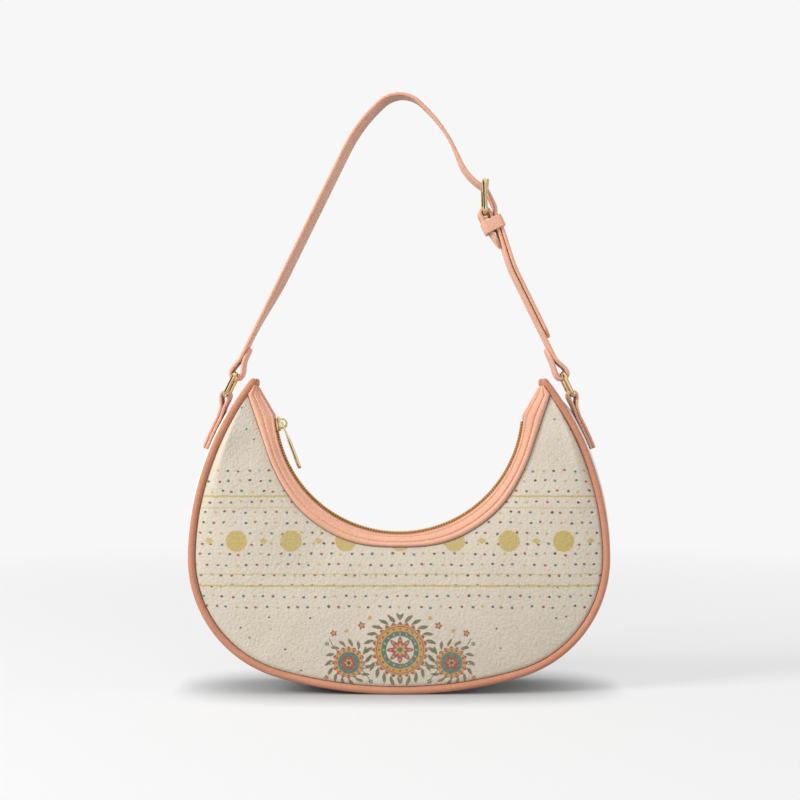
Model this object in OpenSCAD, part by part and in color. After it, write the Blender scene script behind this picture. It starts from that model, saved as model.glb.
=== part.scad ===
// Half moon shoulder bag: a crescent body with a curved zip mouth and a buckled leather strap.
// Millimetres, +Z up, -Y is the front. The origin is on the resting surface, under the middle.

/* [Body] */
// Half of the depth between the two piping centres, at the resting surface
base_half_depth = 30; // [26:0.5:36]
// Half of that depth at the tips
tip_half_depth = 14; // [13:0.5:18]
// Radius of the bottom curve, to the piping centre
bottom_r = 293.4; // [285:0.5:300]
// Radius of the lower corners, to the piping centre
corner_r = 80.8; // [79:0.1:83]
// Radius of the sides, to the piping centre
side_r = 193.8; // [190:0.5:198]
// Angle at which the bottom curve meets the corners
bottom_angle = 15.8; // [15.5:0.1:16.1]
// Angle at which the corners meet the sides
corner_angle = 90.8; // [90:0.1:91.5]
// Angle at which the sides end, at the tips
tip_angle = 127.7; // [127:0.1:128.4]
// Radius of the piping
pipe_r = 2.5; // [2.2:0.1:2.8]
// Radius of the cord inside the piping
pipe_cord_r = 1.4; // [1:0.1:1.6]
// Depth that the weight of the bag presses flat on the piping
flat_cut = 0.4; // [0.3:0.1:0.6]
// Thickness of the panel and gusset leather
leather_t = 1.6; // [1.4:0.1:1.8]
// How far the gusset bows outwards beside the tips
gusset_bow = 5; // [3:0.5:6]
// Thickness of the backing board and of the foam behind the leather
backing_t = 0.8; // [0.6:0.1:1]
// Thickness of the lining cloth
lining_t = 0.5; // [0.4:0.1:0.6]

/* [Mouth] */
// Height of the centre of the mouth curve
mouth_z = 188.9; // [188:0.1:190]
// Radius of the mouth curve
mouth_r = 84.2; // [83.4:0.1:85]
// Angle at which the mouth curve ends, below the tips
mouth_angle = 87; // [86:0.5:87.5]
// Distance from the middle to the top end of the mouth
mouth_tip_x = 95.2; // [94.7:0.1:95.6]
// Height of the top end of the mouth
mouth_tip_z = 203.6; // [203:0.1:204.4]
// Height of the centre of the trim's lower edge
trim_z = 189.3; // [188.6:0.1:190.6]
// Radius of the trim's lower edge
trim_r = 93.2; // [92.5:0.1:94]
// Angle at which the trim's lower edge turns straight
trim_angle = 71; // [70:0.5:72]
// Thickness of the folded trim leather
trim_t = 2.2; // [1.8:0.1:2.6]
// Thickness of the zip facing leather
facing_t = 0.8; // [0.6:0.1:0.9]
// Thickness of the leather over each end of the zip
cover_t = 1.3; // [1:0.1:1.5]

/* [Zip] */
// Angle from the lowest point to each end of the chain
chain_angle = 86.4; // [86:0.1:86.6]
// Distance between neighbouring teeth of one row
tooth_pitch = 1.9; // [1.7:0.1:2.3]
// Length of a tooth along the chain
tooth_len = 1.1; // [0.9:0.1:1.2]
// Length of a tooth across the chain
tooth_w = 2.1; // [1.9:0.1:2.3]
// Height of a tooth
tooth_h = 3.8; // [3.4:0.1:4]
// Half of the slit between the two rows
row_gap = 0.5; // [0.5:0.05:0.6]
// Thickness of the tape
tape_t = 0.4; // [0.3:0.05:0.5]
// Width of each tape
tape_w = 9; // [8:0.5:10]
// Angle from the lowest point to the closed slider
slider_angle = 83; // [80:0.5:83]
// Length of the slider
slider_len = 10; // [9:0.5:11]
// Wall of the slider's two plates
plate_t = 1.5; // [1.2:0.1:1.8]
// Radius of the wire of the slider's bridge
bridge_wire_r = 0.7; // [0.6:0.05:0.8]
// Half of the distance between the bridge's legs
bridge_half_len = 3.8; // [3.6:0.1:4]
// Height of the bridge above the slider
bridge_h = 5.6; // [5.2:0.1:6]
// Length of the pull from its bar to its end
pull_len = 34; // [30:1:38]
// Width of the pull
pull_w = 6.4; // [6:0.1:7]
// Thickness of the pull
pull_t = 1.3; // [1.1:0.1:1.4]
// Angle of the hanging pull to the chain
pull_angle = 15; // [12:1:18]

/* [Strap] */
// Width of the strap
strap_w = 19; // [17:0.5:20]
// Thickness of the strap
strap_t = 2.4; // [2:0.1:2.6]
// Angle of the strap's strands to the vertical
strand_angle = 26.2; // [25.8:0.1:26.6]
// How far the strap's line lies outside the bars of the rings
line_n = 1.7; // [1.4:0.1:2]
// Radius of the strap's top bend
apex_r = 31; // [26:0.5:34]
// Distance along the gusset from where its tab leaves it up to the lower bar of a ring
anchor_reach = 15.45; // [15:0.05:16]
// Distance of that bar from the line of the gusset there
anchor_off = 5.55; // [5.3:0.05:5.8]
// Distance between the bar centres of a ring
ring_len = 16.2; // [15.5:0.1:17]
// Radius of the ring wire
ring_wire_r = 1.5; // [1.4:0.05:1.6]
// Radius of a ring's corners
ring_corner_r = 3; // [2.8:0.1:3.2]
// Thickness of each layer of the anchor tabs
tab_t = 1.8; // [1.6:0.1:2]
// Distance along the strand from the ring to the folded end
fold_len = 20; // [18:0.5:24]
// Distance along the strand from the ring to the strap's free tip
free_tip_at = 26; // [24:1:40]
// Distance between the adjusting holes
hole_pitch = 20; // [18:1:24]
// Radius of an adjusting hole
hole_r = 2.1; // [2:0.05:2.2]

/* [Buckle] */
// Distance along the strand from the ring to the buckle's heel bar
heel_at = 120.8; // [120:0.1:122]
// Distance between the buckle's two bars
buckle_len = 22.2; // [22:0.1:22.6]
// Angle of the buckle to the strand
buckle_angle = 24.6; // [24.2:0.1:25]
// Radius of the buckle's bars
buckle_bar_r = 1.6; // [1.5:0.05:1.7]
// Radius of the prong
prong_r = 1; // [0.9:0.05:1.1]
// Length of the keeper along the strap
keeper_len = 8.7; // [8:0.1:9]
// Wall of the keeper
keeper_t = 1.5; // [1.3:0.1:1.6]

/* [Inside] */
// Width of the slip pocket
pocket_w = 110; // [90:5:120]
// Height of the slip pocket
pocket_h = 55; // [45:5:58]
// Thickness of the slip pocket's cloth
pocket_t = 0.8; // [0.6:0.1:1]
// Width of the pocket's sewn edge
pocket_seam_w = 4; // [3:0.5:6]

/* [Hidden] */
// Clearance between pieces that are sewn or pressed together
seam_gap = 0.1;
// Clearance between pieces that move past each other
run_gap = 0.35;
// Clearance of the strap's loops on the rings, which takes up the drift of the linked joints
loop_gap = 0.95;
// Clearance between two layers of one folded strap
fold_gap = 0.15;
// Overrun of every cut
over = 1;
// Size of the blocks that cut and bound the pieces
big = 500;
// Steps of each bottom, corner and side curve, of a mouth curve and of a fillet
bottom_steps = 12;
corner_steps = 16;
side_steps = 12;
mouth_steps = 56;
fillet_steps = 6;
// Points across the gusset
gusset_steps = 8;
// Facets of true circles, of long sweeps and of the tubes swept by them
$fn = 48;
sweep_facets = 180;
tube_facets = 12;

// Centres of the three curves of the outline, in the leaning plane
bottom_c = [0, pipe_r - flat_cut + bottom_r];
corner_c = bottom_c + (bottom_r - corner_r) * heading(bottom_angle);
side_c = corner_c + (corner_r - side_r) * heading(corner_angle);

// The front lies in a plane that leans inwards by this angle; the back mirrors it
tip_height = right_edge(tip_angle, 0).y;
lean = atan((base_half_depth - tip_half_depth) / tip_height);

// Bore of the piping for its cord
pipe_bore_r = pipe_cord_r + 2 * seam_gap;
// Depth of each layer below the leaning plane; the leather's face stands above it
face_out = 0.6;
panel_back = leather_t - face_out;
backing_back = panel_back + backing_t + seam_gap / 2;
lining_back = backing_back + lining_t + seam_gap / 2;
trim_out = 1;
trim_back = trim_t - trim_out;
// Distances from the outline to the edges of the sheets
panel_inset = pipe_r + seam_gap;
backing_inset = 6;
lining_inset = 4.5;
// How far the gusset's outer face lies inside the piping centres
gusset_inset = 0.2;
// Angles between which the bow of the gusset grows from nothing, and falls near the tips
bow_from = 40;
bow_full = 105;
bow_fall = 119;
// Angles at which the gusset, its backing board and its lining end
gusset_end_angle = 126.6;
gusset_backing_angle = 84;
gusset_lining_angle = 118;

// Radii of the zip about the centre of the mouth curve
tape_r = mouth_r + facing_t + seam_gap;
chain_r = tape_r + tape_t / 2;
crown_r = chain_r - tooth_h / 2;
sole_r = chain_r + tooth_h / 2;
teeth_half_w = row_gap + tooth_w;
facing_half_gap = 6.5;
facing_stop = 2;
plate_top_r = crown_r - run_gap - plate_t;
plate_low_r = sole_r + run_gap + plate_t;
slider_half_w = 4.7;
slider_span = slider_len / chain_r * 180 / PI;
web_half_t = row_gap - run_gap + 0.05;
web_half_len = 2;
// The pull's bar sits under the bridge, this far from the slider's middle and above its plate
bar_x = -1;
bar_h = 1.15;
bar_r = 0.7;
pull_hole_len = 6.6;
pull_hole_half_w = 1.3;
pull_slot_w = 2;
pull_slot_len = 5;
pull_slot_from_end = 3;
stop_len = 3.2;
stop_h = 1.8;

// Angles on the gusset at which the anchor tab ends and leaves the surface
tab_end_angle = 111.5;
tab_leave_angle = 118;
tab_steps = 4;

// Loop of the strap and of the tab, to the middle of the leather
loop_r = ring_wire_r + loop_gap + strap_t / 2;
tab_loop_r = ring_wire_r + run_gap + tab_t / 2;
heel_loop_r = buckle_bar_r + run_gap + strap_t / 2 + fold_gap;
ring_w = strap_w + 2 * run_gap + 2 * ring_corner_r;
ring_up = [-sin(strand_angle), cos(strand_angle)];
ring_out = [cos(strand_angle), sin(strand_angle)];
lower_bar = gusset_top(tab_leave_angle, 0) + anchor_reach * along(tab_leave_angle)
    + anchor_off * heading(tab_leave_angle);
upper_bar = lower_bar + ring_len * ring_up;
strand_len = upper_bar.x / sin(strand_angle);
layer = strap_t + fold_gap;
// The two layers below the buckle lie on either side of the strap's line
pair_n = (layer + run_gap) / 2;
bend_r = 14;
turn_r = 8;
small_r = 3;
// Places along the strand, up from the ring: where a loop closes, and where the layers part
loop_exit = 3;
loop_blend = 12;
part_low = 88.5;
part_high = 103;
rise_low = 117.3;
rise_high = 121.5;
dive_low = 135.2;
dive_high = 148;
heel_n = 1.1;
outer_n = heel_n + heel_loop_r;
main_n = outer_n + strap_t + 0.45;
main_heel_n = main_n + 2.1;
crossing_at = 134;
buckle_flap_at = 95.5;
buckle_w = strap_w + 2 * run_gap + 4.2;
prong_lift = buckle_bar_r + prong_r + 0.3;
prong_angle = buckle_angle + asin(prong_lift / buckle_len);
prong_past = 2.6;
prong_coil_r = buckle_bar_r + run_gap;
prong_coil_w = 3.4;
prong_coil_t = 1.5;
prong_slot_w = prong_coil_w + 2 * run_gap;
prong_slot_len = 12;
hole_count = 3;
keeper_at = 107.5;
keeper_slack = 0.4;
patch_half_w = 6;
patch_t = 0.5;
patch_drop = 0.4;

leather_colour = [0.93, 0.69, 0.57];
cream_colour = [0.86, 0.82, 0.75];
white_colour = [0.93, 0.94, 0.95];
lining_colour = [0.80, 0.75, 0.68];
board_colour = [0.72, 0.62, 0.50];
gold_colour = [0.86, 0.73, 0.45];

// Geometry helpers

// Direction of the outward normal of a curve that starts level and turns upwards by angle a
function heading(a) = [sin(a), -cos(a)];
function along(a) = [cos(a), sin(a)];
function unit(v) = v / norm(v);
function turned(v) = [-v.y, v.x];
function flipped(p) = [-p.x, p.y];
function swap_ends(list) = [for (i = [len(list) - 1:-1:0]) list[i]];
function smooth_step(t) = let (u = min(1, max(0, t))) u * u * (3 - 2 * u);

// Point of the right half of the outline in the leaning plane, d outside the piping centre
function right_edge(a, d) =
    a <= bottom_angle ? bottom_c + (bottom_r + d) * heading(a)
    : a <= corner_angle ? corner_c + (corner_r + d) * heading(a)
    : side_c + (side_r + d) * heading(a);
function edge(a, d) = a < 0 ? flipped(right_edge(-a, d)) : right_edge(a, d);

// The outline's angles from the left tip to the right one
right_angles = concat(
    [for (i = [1:bottom_steps / 2]) bottom_angle * i / (bottom_steps / 2)],
    [for (i = [1:corner_steps]) bottom_angle + (corner_angle - bottom_angle) * i / corner_steps],
    [for (i = [1:side_steps]) corner_angle + (tip_angle - corner_angle) * i / side_steps]
);
edge_angles = concat([for (a = swap_ends(right_angles)) -a], [0], right_angles);
function angles_within(limit) = concat(
    [-limit], [for (a = edge_angles) if (abs(a) < limit - 1) a], [limit]);

// Height above the resting surface to height in the leaning plane
function in_plane(p) = [p.x, p.y / cos(lean)];
function upright(p) = [p.x, p.y * cos(lean)];

// Half of the depth between the leaning planes at height z, less a distance square to them
function half_depth(z, inset) = base_half_depth - z * tan(lean) - inset / cos(lean);

// The gusset's bow at outline angle a, and its outer face at share y of the half depth
function bow(a) = gusset_bow * smooth_step((abs(a) - bow_from) / (bow_full - bow_from))
    * smooth_step((tip_angle - abs(a)) / (tip_angle - bow_fall));
// All layers share the gusset's rows; their side rows lie on the line through its last two
last_share = 1 - 2 / gusset_steps;
function bow_share(y) = abs(y) <= last_share ? 1 - pow(abs(y), 4)
    : (1 - pow(last_share, 4)) * (1 - abs(y)) / (1 - last_share);
function gusset_point(a, y_share, d, side_inset) =
    let (q = upright(edge(a, 0)), whole = half_depth(q.y, panel_inset),
         y = y_share * (abs(y_share) < 1 ? whole : half_depth(q.y, side_inset)),
         p = upright(edge(a, bow(a) * bow_share(y / whole) + d)))
    [p.x, y, p.y];
// Middle of the gusset's outer face, d outside it
function gusset_top(a, d) = upright(edge(a, bow(a) - gusset_inset + d));

// Mouth curve in the XZ plane, d outside it, from the left tip to the right tip
mouth_end = [mouth_r * sin(mouth_angle), mouth_z - mouth_r * cos(mouth_angle)];
mouth_tip = [mouth_tip_x, mouth_tip_z];
mouth_line = unit(mouth_tip - mouth_end);
mouth_line_out = [mouth_line.y, -mouth_line.x];
function mouth_arc(a, d) = [0, mouth_z] + (mouth_r + d) * heading(a);
// Where the offset arc and the offset line of the mouth's right end meet
function mouth_corner(d) =
    let (p = mouth_end + d * mouth_line_out, f = p - [0, mouth_z], b = f * mouth_line,
         c = f * f - pow(mouth_r + d, 2), root = sqrt(max(0, b * b - c)))
    p + (-b + (b > 0 ? root : -root)) * mouth_line;
function mouth_points(d) =
    let (k = mouth_corner(d), last = atan2(k.x, mouth_z - k.y),
         right = concat([for (i = [1:mouth_steps / 2]) mouth_arc(last * i / (mouth_steps / 2), d)],
                        [mouth_tip + d * mouth_line_out]))
    concat([for (p = swap_ends(right)) flipped(p)], [mouth_arc(0, d)], right);
function trim_points(d) =
    let (right = concat([for (i = [1:mouth_steps / 2])
                            [0, trim_z] + (trim_r + d) * heading(trim_angle * i / (mouth_steps / 2))],
                        [[0, trim_z] + (trim_r + d) * heading(trim_angle) + trim_r * along(trim_angle)]))
    concat([for (p = swap_ends(right)) flipped(p)], [[0, trim_z - trim_r - d]], right);

// Replaces each corner of a line by an arc of its own radius
function fillet(p, q, s, r) =
    r == 0 ? [q] :
    let (u = unit(p - q), w = unit(s - q), opening = acos(max(-1, min(1, u * w))))
    opening > 179.5 ? [q] :
    let (reach = r / tan(opening / 2), c = q + unit(u + w) * r / sin(opening / 2),
         f = q + u * reach - c, g = q + w * reach - c,
         start = atan2(f.y, f.x), sweep_raw = atan2(g.y, g.x) - start,
         sweep = sweep_raw > 180 ? sweep_raw - 360 : sweep_raw < -180 ? sweep_raw + 360 : sweep_raw,
         steps = max(2, ceil(abs(sweep) / 90 * fillet_steps)))
    [for (i = [0:steps]) c + r * [cos(start + sweep * i / steps), sin(start + sweep * i / steps)]];
function apart(list) = [for (i = [0:len(list) - 1])
    if (i == 0 || norm(list[i] - list[max(0, i - 1)]) > 0.01) list[i]];
function rounded(points, radii) = apart(concat(
    [points[0]],
    [for (i = [1:len(points) - 2]) each fillet(points[i - 1], points[i], points[i + 1], radii[i])],
    [points[len(points) - 1]]));

// Line parallel to a line of points, d to its left
function side_line(path, d) = [for (i = [0:len(path) - 1])
    let (before = i == 0 ? path[1] - path[0] : path[i] - path[i - 1],
         after = i == len(path) - 1 ? before : path[i + 1] - path[i],
         n = unit(turned(unit(before)) + turned(unit(after))))
    path[i] + d / (n * turned(unit(before))) * n];
module ribbon(path, t) {
    polygon(concat(side_line(path, t / 2), swap_ends(side_line(path, -t / 2))));
}

// Extrudes an XZ shape along Y, about the middle
module across(w) {
    rotate([90, 0, 0]) linear_extrude(w, center = true) children();
}

// Puts a shape drawn in the leaning plane in its place on the front; +Z there points outwards
module on_front() {
    translate([0, -base_half_depth, 0]) rotate([90 - lean, 0, 0]) children();
}
module on_back() {
    mirror([0, 1, 0]) on_front() children();
}

// The space between the two leaning planes, less a distance square to them
module between_planes(inset) {
    low = -big / 2;
    high = tip_height + ring_len;
    rotate([90, 0, 90]) linear_extrude(2 * big, center = true) polygon([
        [-half_depth(low, inset), low], [half_depth(low, inset), low],
        [half_depth(high, inset), high], [-half_depth(high, inset), high]
    ]);
}
module front_half(gap) {
    intersection() {
        children();
        translate([-big, -big - gap, -big]) cube([2 * big, big, 2 * big]);
    }
}

// Turns a cross-section of radius and depth about the centre of the mouth curve
module zip_sweep(from, to) {
    translate([0, 0, mouth_z]) rotate([90, 0, 0]) rotate([0, 0, from - 90])
        rotate_extrude(angle = to - from, $fn = sweep_facets) children();
}
// Puts what is drawn at the lowest point of the mouth curve at an angle to the left of it
module at_zip(a) {
    translate([0, 0, mouth_z]) rotate([0, a, 0]) children();
}

// Shell of one sheet that is drawn as rings of points round its cross-section, with closed ends
module lofted(rings) {
    n = len(rings[0]);
    m = len(rings);
    polyhedron(
        points = [for (ring = rings) each ring],
        faces = concat(
            [for (i = [0:m - 2], j = [0:n - 1]) each [
                [i * n + j, (i + 1) * n + (j + 1) % n, i * n + (j + 1) % n],
                [i * n + j, (i + 1) * n + j, (i + 1) * n + (j + 1) % n]]],
            [for (j = [0:n / 2 - 2]) each [[j, j + 1, n - 2 - j], [j, n - 2 - j, n - 1 - j]]],
            [for (j = [0:n / 2 - 2]) let (k = (m - 1) * n) each [
                [k + j, k + n - 2 - j, k + j + 1], [k + j, k + n - 1 - j, k + n - 2 - j]]]
        )
    );
}

// Tube between an outer and an inner skin, both given as rings of points, with closed ends
module lofted_tube(outer, inner) {
    n = len(outer[0]);
    m = len(outer);
    h = n * m;
    polyhedron(
        points = concat([for (ring = outer) each ring], [for (ring = inner) each ring]),
        faces = concat(
            [for (i = [0:m - 2], j = [0:n - 1]) let (a = i * n + j, b = i * n + (j + 1) % n) each [
                [a, b + n, b], [a, a + n, b + n],
                [h + a, h + b, h + b + n], [h + a, h + b + n, h + a + n]]],
            [for (j = [0:n - 1]) let (a = j, b = (j + 1) % n) each [[a, b, h + b], [a, h + b, h + a]]],
            [for (j = [0:n - 1]) let (a = h - n + j, b = h - n + (j + 1) % n) each [
                [b, a, h + a], [b, h + a, h + b]]]
        )
    );
}

// Flat sheets of the front and back

module outline_shape(inset) {
    polygon([for (a = edge_angles) edge(a, -inset)]);
}
module above_mouth(d) {
    pts = [for (p = mouth_points(d)) in_plane(p)];
    polygon(concat(pts, [[mouth_tip.x + d, 2 * tip_height], [-mouth_tip.x - d, 2 * tip_height]]));
}
module above_trim(d) {
    pts = [for (p = trim_points(d)) in_plane(p)];
    polygon(concat(pts, [[bottom_r, 2 * tip_height], [-bottom_r, 2 * tip_height]]));
}
module sheet(low, high, inset) {
    translate([0, 0, low]) linear_extrude(high - low) difference() {
        outline_shape(inset);
        above_trim(seam_gap);
    }
}
module panel() {
    sheet(-panel_back, face_out, panel_inset);
}
module backing() {
    sheet(-backing_back, -panel_back - seam_gap / 2, backing_inset);
}
module lining() {
    translate([0, 0, -lining_back]) linear_extrude(lining_t) difference() {
        outline_shape(lining_inset);
        above_mouth(facing_t + tape_t + 3 * seam_gap);
    }
}
module mouth_trim() {
    translate([0, 0, -trim_back]) linear_extrude(trim_t) difference() {
        intersection() {
            outline_shape(panel_inset);
            above_trim(0);
        }
        above_mouth(0);
    }
}

// Piping: a tube along the outline with a bore for its cord, pressed flat where the bag stands

function pipe_ring(a, r) = [for (k = [0:tube_facets - 1])
    let (t = 360 * (k + 0.5) / tube_facets, h = -r * sin(t), p = edge(a, r * cos(t)))
    [p.x, max(p.y, -h * tan(lean)), h]];
module piping() {
    lofted_tube([for (a = edge_angles) pipe_ring(a, pipe_r)],
        [for (a = edge_angles) pipe_ring(a, pipe_bore_r)]);
}
module piping_cord() {
    lofted([for (a = edge_angles) pipe_ring(a, pipe_cord_r)]);
}

// Gusset, its board and its lining

module gusset_layer(limit, d_out, d_in, side_inset) {
    shares = [for (i = [0:gusset_steps]) 2 * i / gusset_steps - 1];
    lofted([for (a = angles_within(limit)) concat(
        [for (y = shares) gusset_point(a, y, d_out, side_inset)],
        [for (y = swap_ends(shares)) gusset_point(a, y, d_in, side_inset)])]);
}
gusset_out = -gusset_inset;
gusset_in = gusset_out - leather_t;
board_out = gusset_in - seam_gap;
board_in = board_out - backing_t;
cloth_out = board_in - seam_gap;
cloth_in = cloth_out - lining_t;

module gusset() {
    color(white_colour) gusset_layer(gusset_end_angle, gusset_out, gusset_in, panel_inset);
}
module gusset_backing() {
    color(board_colour) gusset_layer(gusset_backing_angle, board_out, board_in, backing_back + seam_gap);
}
module gusset_lining() {
    color(lining_colour) gusset_layer(gusset_lining_angle, cloth_out, cloth_in, lining_back + seam_gap);
}

// Facing of the zip, and the leather over its ends

module mouth_ribbon(d_near, d_far) {
    polygon(concat(mouth_points(d_near), swap_ends(mouth_points(d_far))));
}
module zip_facing() {
    front_half(facing_half_gap) intersection() {
        across(2 * base_half_depth) mouth_ribbon(0, facing_t);
        between_planes(trim_back + seam_gap);
        translate([-big, -big, -big]) cube([2 * big, 2 * big, big + mouth_tip.y - facing_stop]);
    }
}
cover_mid = -(cover_t / 2 + seam_gap);
cover_start_angle = mouth_angle - 0.5;
cover_drop_angle = 124;
cover_r = 2;
// How far past the mouth's tip the cover narrows, to clear the piping
cover_narrow = 1;
module end_cover() {
    near_tip = mouth_tip + cover_mid * mouth_line_out;
    far_tip = gusset_top(gusset_end_angle, 0) + [0, cover_t + seam_gap];
    path = rounded([
        mouth_arc(cover_start_angle, cover_mid), mouth_corner(0) + cover_mid * mouth_line_out,
        near_tip, far_tip, gusset_top(cover_drop_angle, cover_t / 2 + 3 * seam_gap)
    ], [0, small_r, cover_r, cover_r, 0]);
    intersection() {
        across(2 * base_half_depth) ribbon(path, cover_t);
        union() {
            between_planes(panel_inset);
            intersection() {
                between_planes(trim_back + seam_gap);
                translate([-big, -big, -big]) cube([big + mouth_tip.x + cover_narrow, 2 * big, 2 * big]);
            }
        }
    }
}

// Zip: tape, teeth, stops, slider and pull

module zip_tape() {
    zip_sweep(-chain_angle, chain_angle) translate([tape_r, teeth_half_w + seam_gap / 2])
        square([tape_t, tape_w]);
}
tooth_step = tooth_pitch / chain_r * 180 / PI;
tooth_side = floor((chain_angle - stop_len / chain_r * 90 / PI) / tooth_step);
module zip_teeth(side) {
    for (i = [-tooth_side:tooth_side - 1])
        at_zip((i + (side > 0 ? 0.25 : 0.75)) * tooth_step)
            translate([-tooth_len / 2, side > 0 ? row_gap : -teeth_half_w, -sole_r])
                cube([tooth_len, tooth_w, tooth_h]);
}
module zip_stop() {
    at_zip(chain_angle) for (side = [-1, 1])
        translate([-stop_len / 2, side * (row_gap + tooth_w / 2) - tooth_w / 2, -chain_r - stop_h / 2])
            cube([stop_len, tooth_w, stop_h]);
}
module zip_slider() {
    color(gold_colour) at_zip(slider_angle) {
        translate([0, 0, -mouth_z]) zip_sweep(-slider_span / 2, slider_span / 2) difference() {
            translate([plate_top_r, -slider_half_w])
                square([plate_low_r - plate_top_r, 2 * slider_half_w]);
            translate([crown_r - run_gap, -teeth_half_w - run_gap])
                square([tooth_h + 2 * run_gap, 2 * (teeth_half_w + run_gap)]);
            translate([tape_r - run_gap, -slider_half_w - over])
                square([tape_t + 2 * run_gap, 2 * (slider_half_w + over)]);
        }
        translate([-web_half_len, -web_half_t, -plate_low_r + plate_t / 2])
            cube([2 * web_half_len, 2 * web_half_t, plate_low_r - plate_top_r - plate_t]);
    }
}
// The wire arch that stands along the slider
module zip_slider_bridge() {
    leg_h = bridge_h - bridge_half_len + bridge_wire_r;
    color(gold_colour) at_zip(slider_angle) translate([0, 0, -plate_top_r + seam_gap]) {
        for (side = [-1, 1]) translate([side * (bridge_half_len - bridge_wire_r), 0, 0])
            cylinder(r = bridge_wire_r, h = leg_h - 2 * bridge_wire_r);
        translate([0, 0, leg_h - 2 * bridge_wire_r]) rotate([90, 0, 0]) rotate_extrude(angle = 180)
            translate([bridge_half_len - bridge_wire_r, 0]) circle(bridge_wire_r);
    }
}
module zip_pull() {
    color(gold_colour) at_zip(slider_angle) translate([bar_x, 0, -plate_top_r + bar_h])
        rotate([0, -pull_angle, 0]) {
            rotate([90, 0, 0]) cylinder(r = bar_r, h = pull_w, center = true);
            difference() {
                translate([0, 0, -pull_t / 2]) linear_extrude(pull_t) difference() {
                    translate([0, -pull_w / 2]) square([pull_len, pull_w]);
                    translate([0, -pull_hole_half_w]) square([pull_hole_len, 2 * pull_hole_half_w]);
                    translate([pull_len - pull_slot_from_end - pull_slot_len, -pull_slot_w / 2])
                        square([pull_slot_len, pull_slot_w]);
                }
            }
        }
}

// Strap, rings and tabs; a place on the right strand is its distance up the strand and outwards

function strand(t, n) = upper_bar + t * ring_up + n * ring_out;
function left_strand(t, n) = flipped(strand(t, n));
// Corners of the loop round a bar at distance t up the strand; dir is 1 at a lower loop
function loop_corners(t, r, dir) = [strand(t - dir * r, -r), strand(t - dir * r, r)];

// The loop round a ring's upper bar, from the end of its flap to the strap's own line at n
function ring_loop(n) = concat(
    [strand(fold_len, n - layer), strand(loop_exit + loop_blend, n - layer),
     strand(loop_exit, -loop_r)],
    loop_corners(0, loop_r, 1),
    [strand(loop_exit, loop_r), strand(loop_exit + loop_blend, n)]);
loop_radii = [0, bend_r, small_r, loop_r, loop_r, small_r, bend_r];
apex = [0, upper_bar.y + (upper_bar.x + line_n / ring_out.x) / tan(strand_angle)];

module shoulder_strap() {
    path = rounded(
        concat(
            [for (p = ring_loop(line_n)) flipped(p)],
            [apex,
             strand(dive_high, line_n), strand(dive_low, main_heel_n),
             strand(rise_high, main_heel_n), strand(rise_low, main_n),
             strand(part_high, main_n), strand(part_low, line_n + pair_n),
             strand(free_tip_at, line_n + pair_n)]),
        concat(loop_radii, [apex_r, turn_r, turn_r, turn_r, turn_r, bend_r, bend_r, 0]));
    color(leather_colour) difference() {
        across(strap_w) ribbon(path, strap_t);
        strap_holes();
    }
}
// The prong goes through the hole at the crossing; the others follow on the free end
module strap_holes() {
    crossing = strand(crossing_at, main_heel_n);
    translate([crossing.x, 0, crossing.y]) rotate([0, prong_angle - strand_angle, 0])
        cylinder(r = hole_r, h = 8 * strap_t, center = true);
    for (i = [0:hole_count - 1]) {
        p = strand(free_tip_at + hole_pitch / 2 + i * hole_pitch, line_n + pair_n);
        translate([p.x, 0, p.y]) rotate([0, 90 - strand_angle, 0])
            cylinder(r = hole_r, h = 2 * strap_t, center = true);
    }
}
module buckle_strap() {
    low_n = line_n - pair_n;
    path = rounded(
        concat(
            ring_loop(low_n),
            [strand(part_low, low_n), strand(part_high, outer_n)],
            [strand(heel_at + heel_loop_r, outer_n), strand(heel_at + heel_loop_r, heel_n - heel_loop_r),
             strand(buckle_flap_at, heel_n - heel_loop_r)]),
        concat(loop_radii, [bend_r, bend_r, heel_loop_r, heel_loop_r, 0]));
    slot = strand(heel_at + heel_loop_r / 2, heel_n);
    color(leather_colour) difference() {
        across(strap_w) ribbon(path, strap_t);
        translate([slot.x, 0, slot.y]) rotate([0, -strand_angle, 0])
            translate([-2 * heel_loop_r, -prong_slot_w / 2, -prong_slot_len / 2])
                cube([4 * heel_loop_r, prong_slot_w, prong_slot_len]);
    }
}

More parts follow.
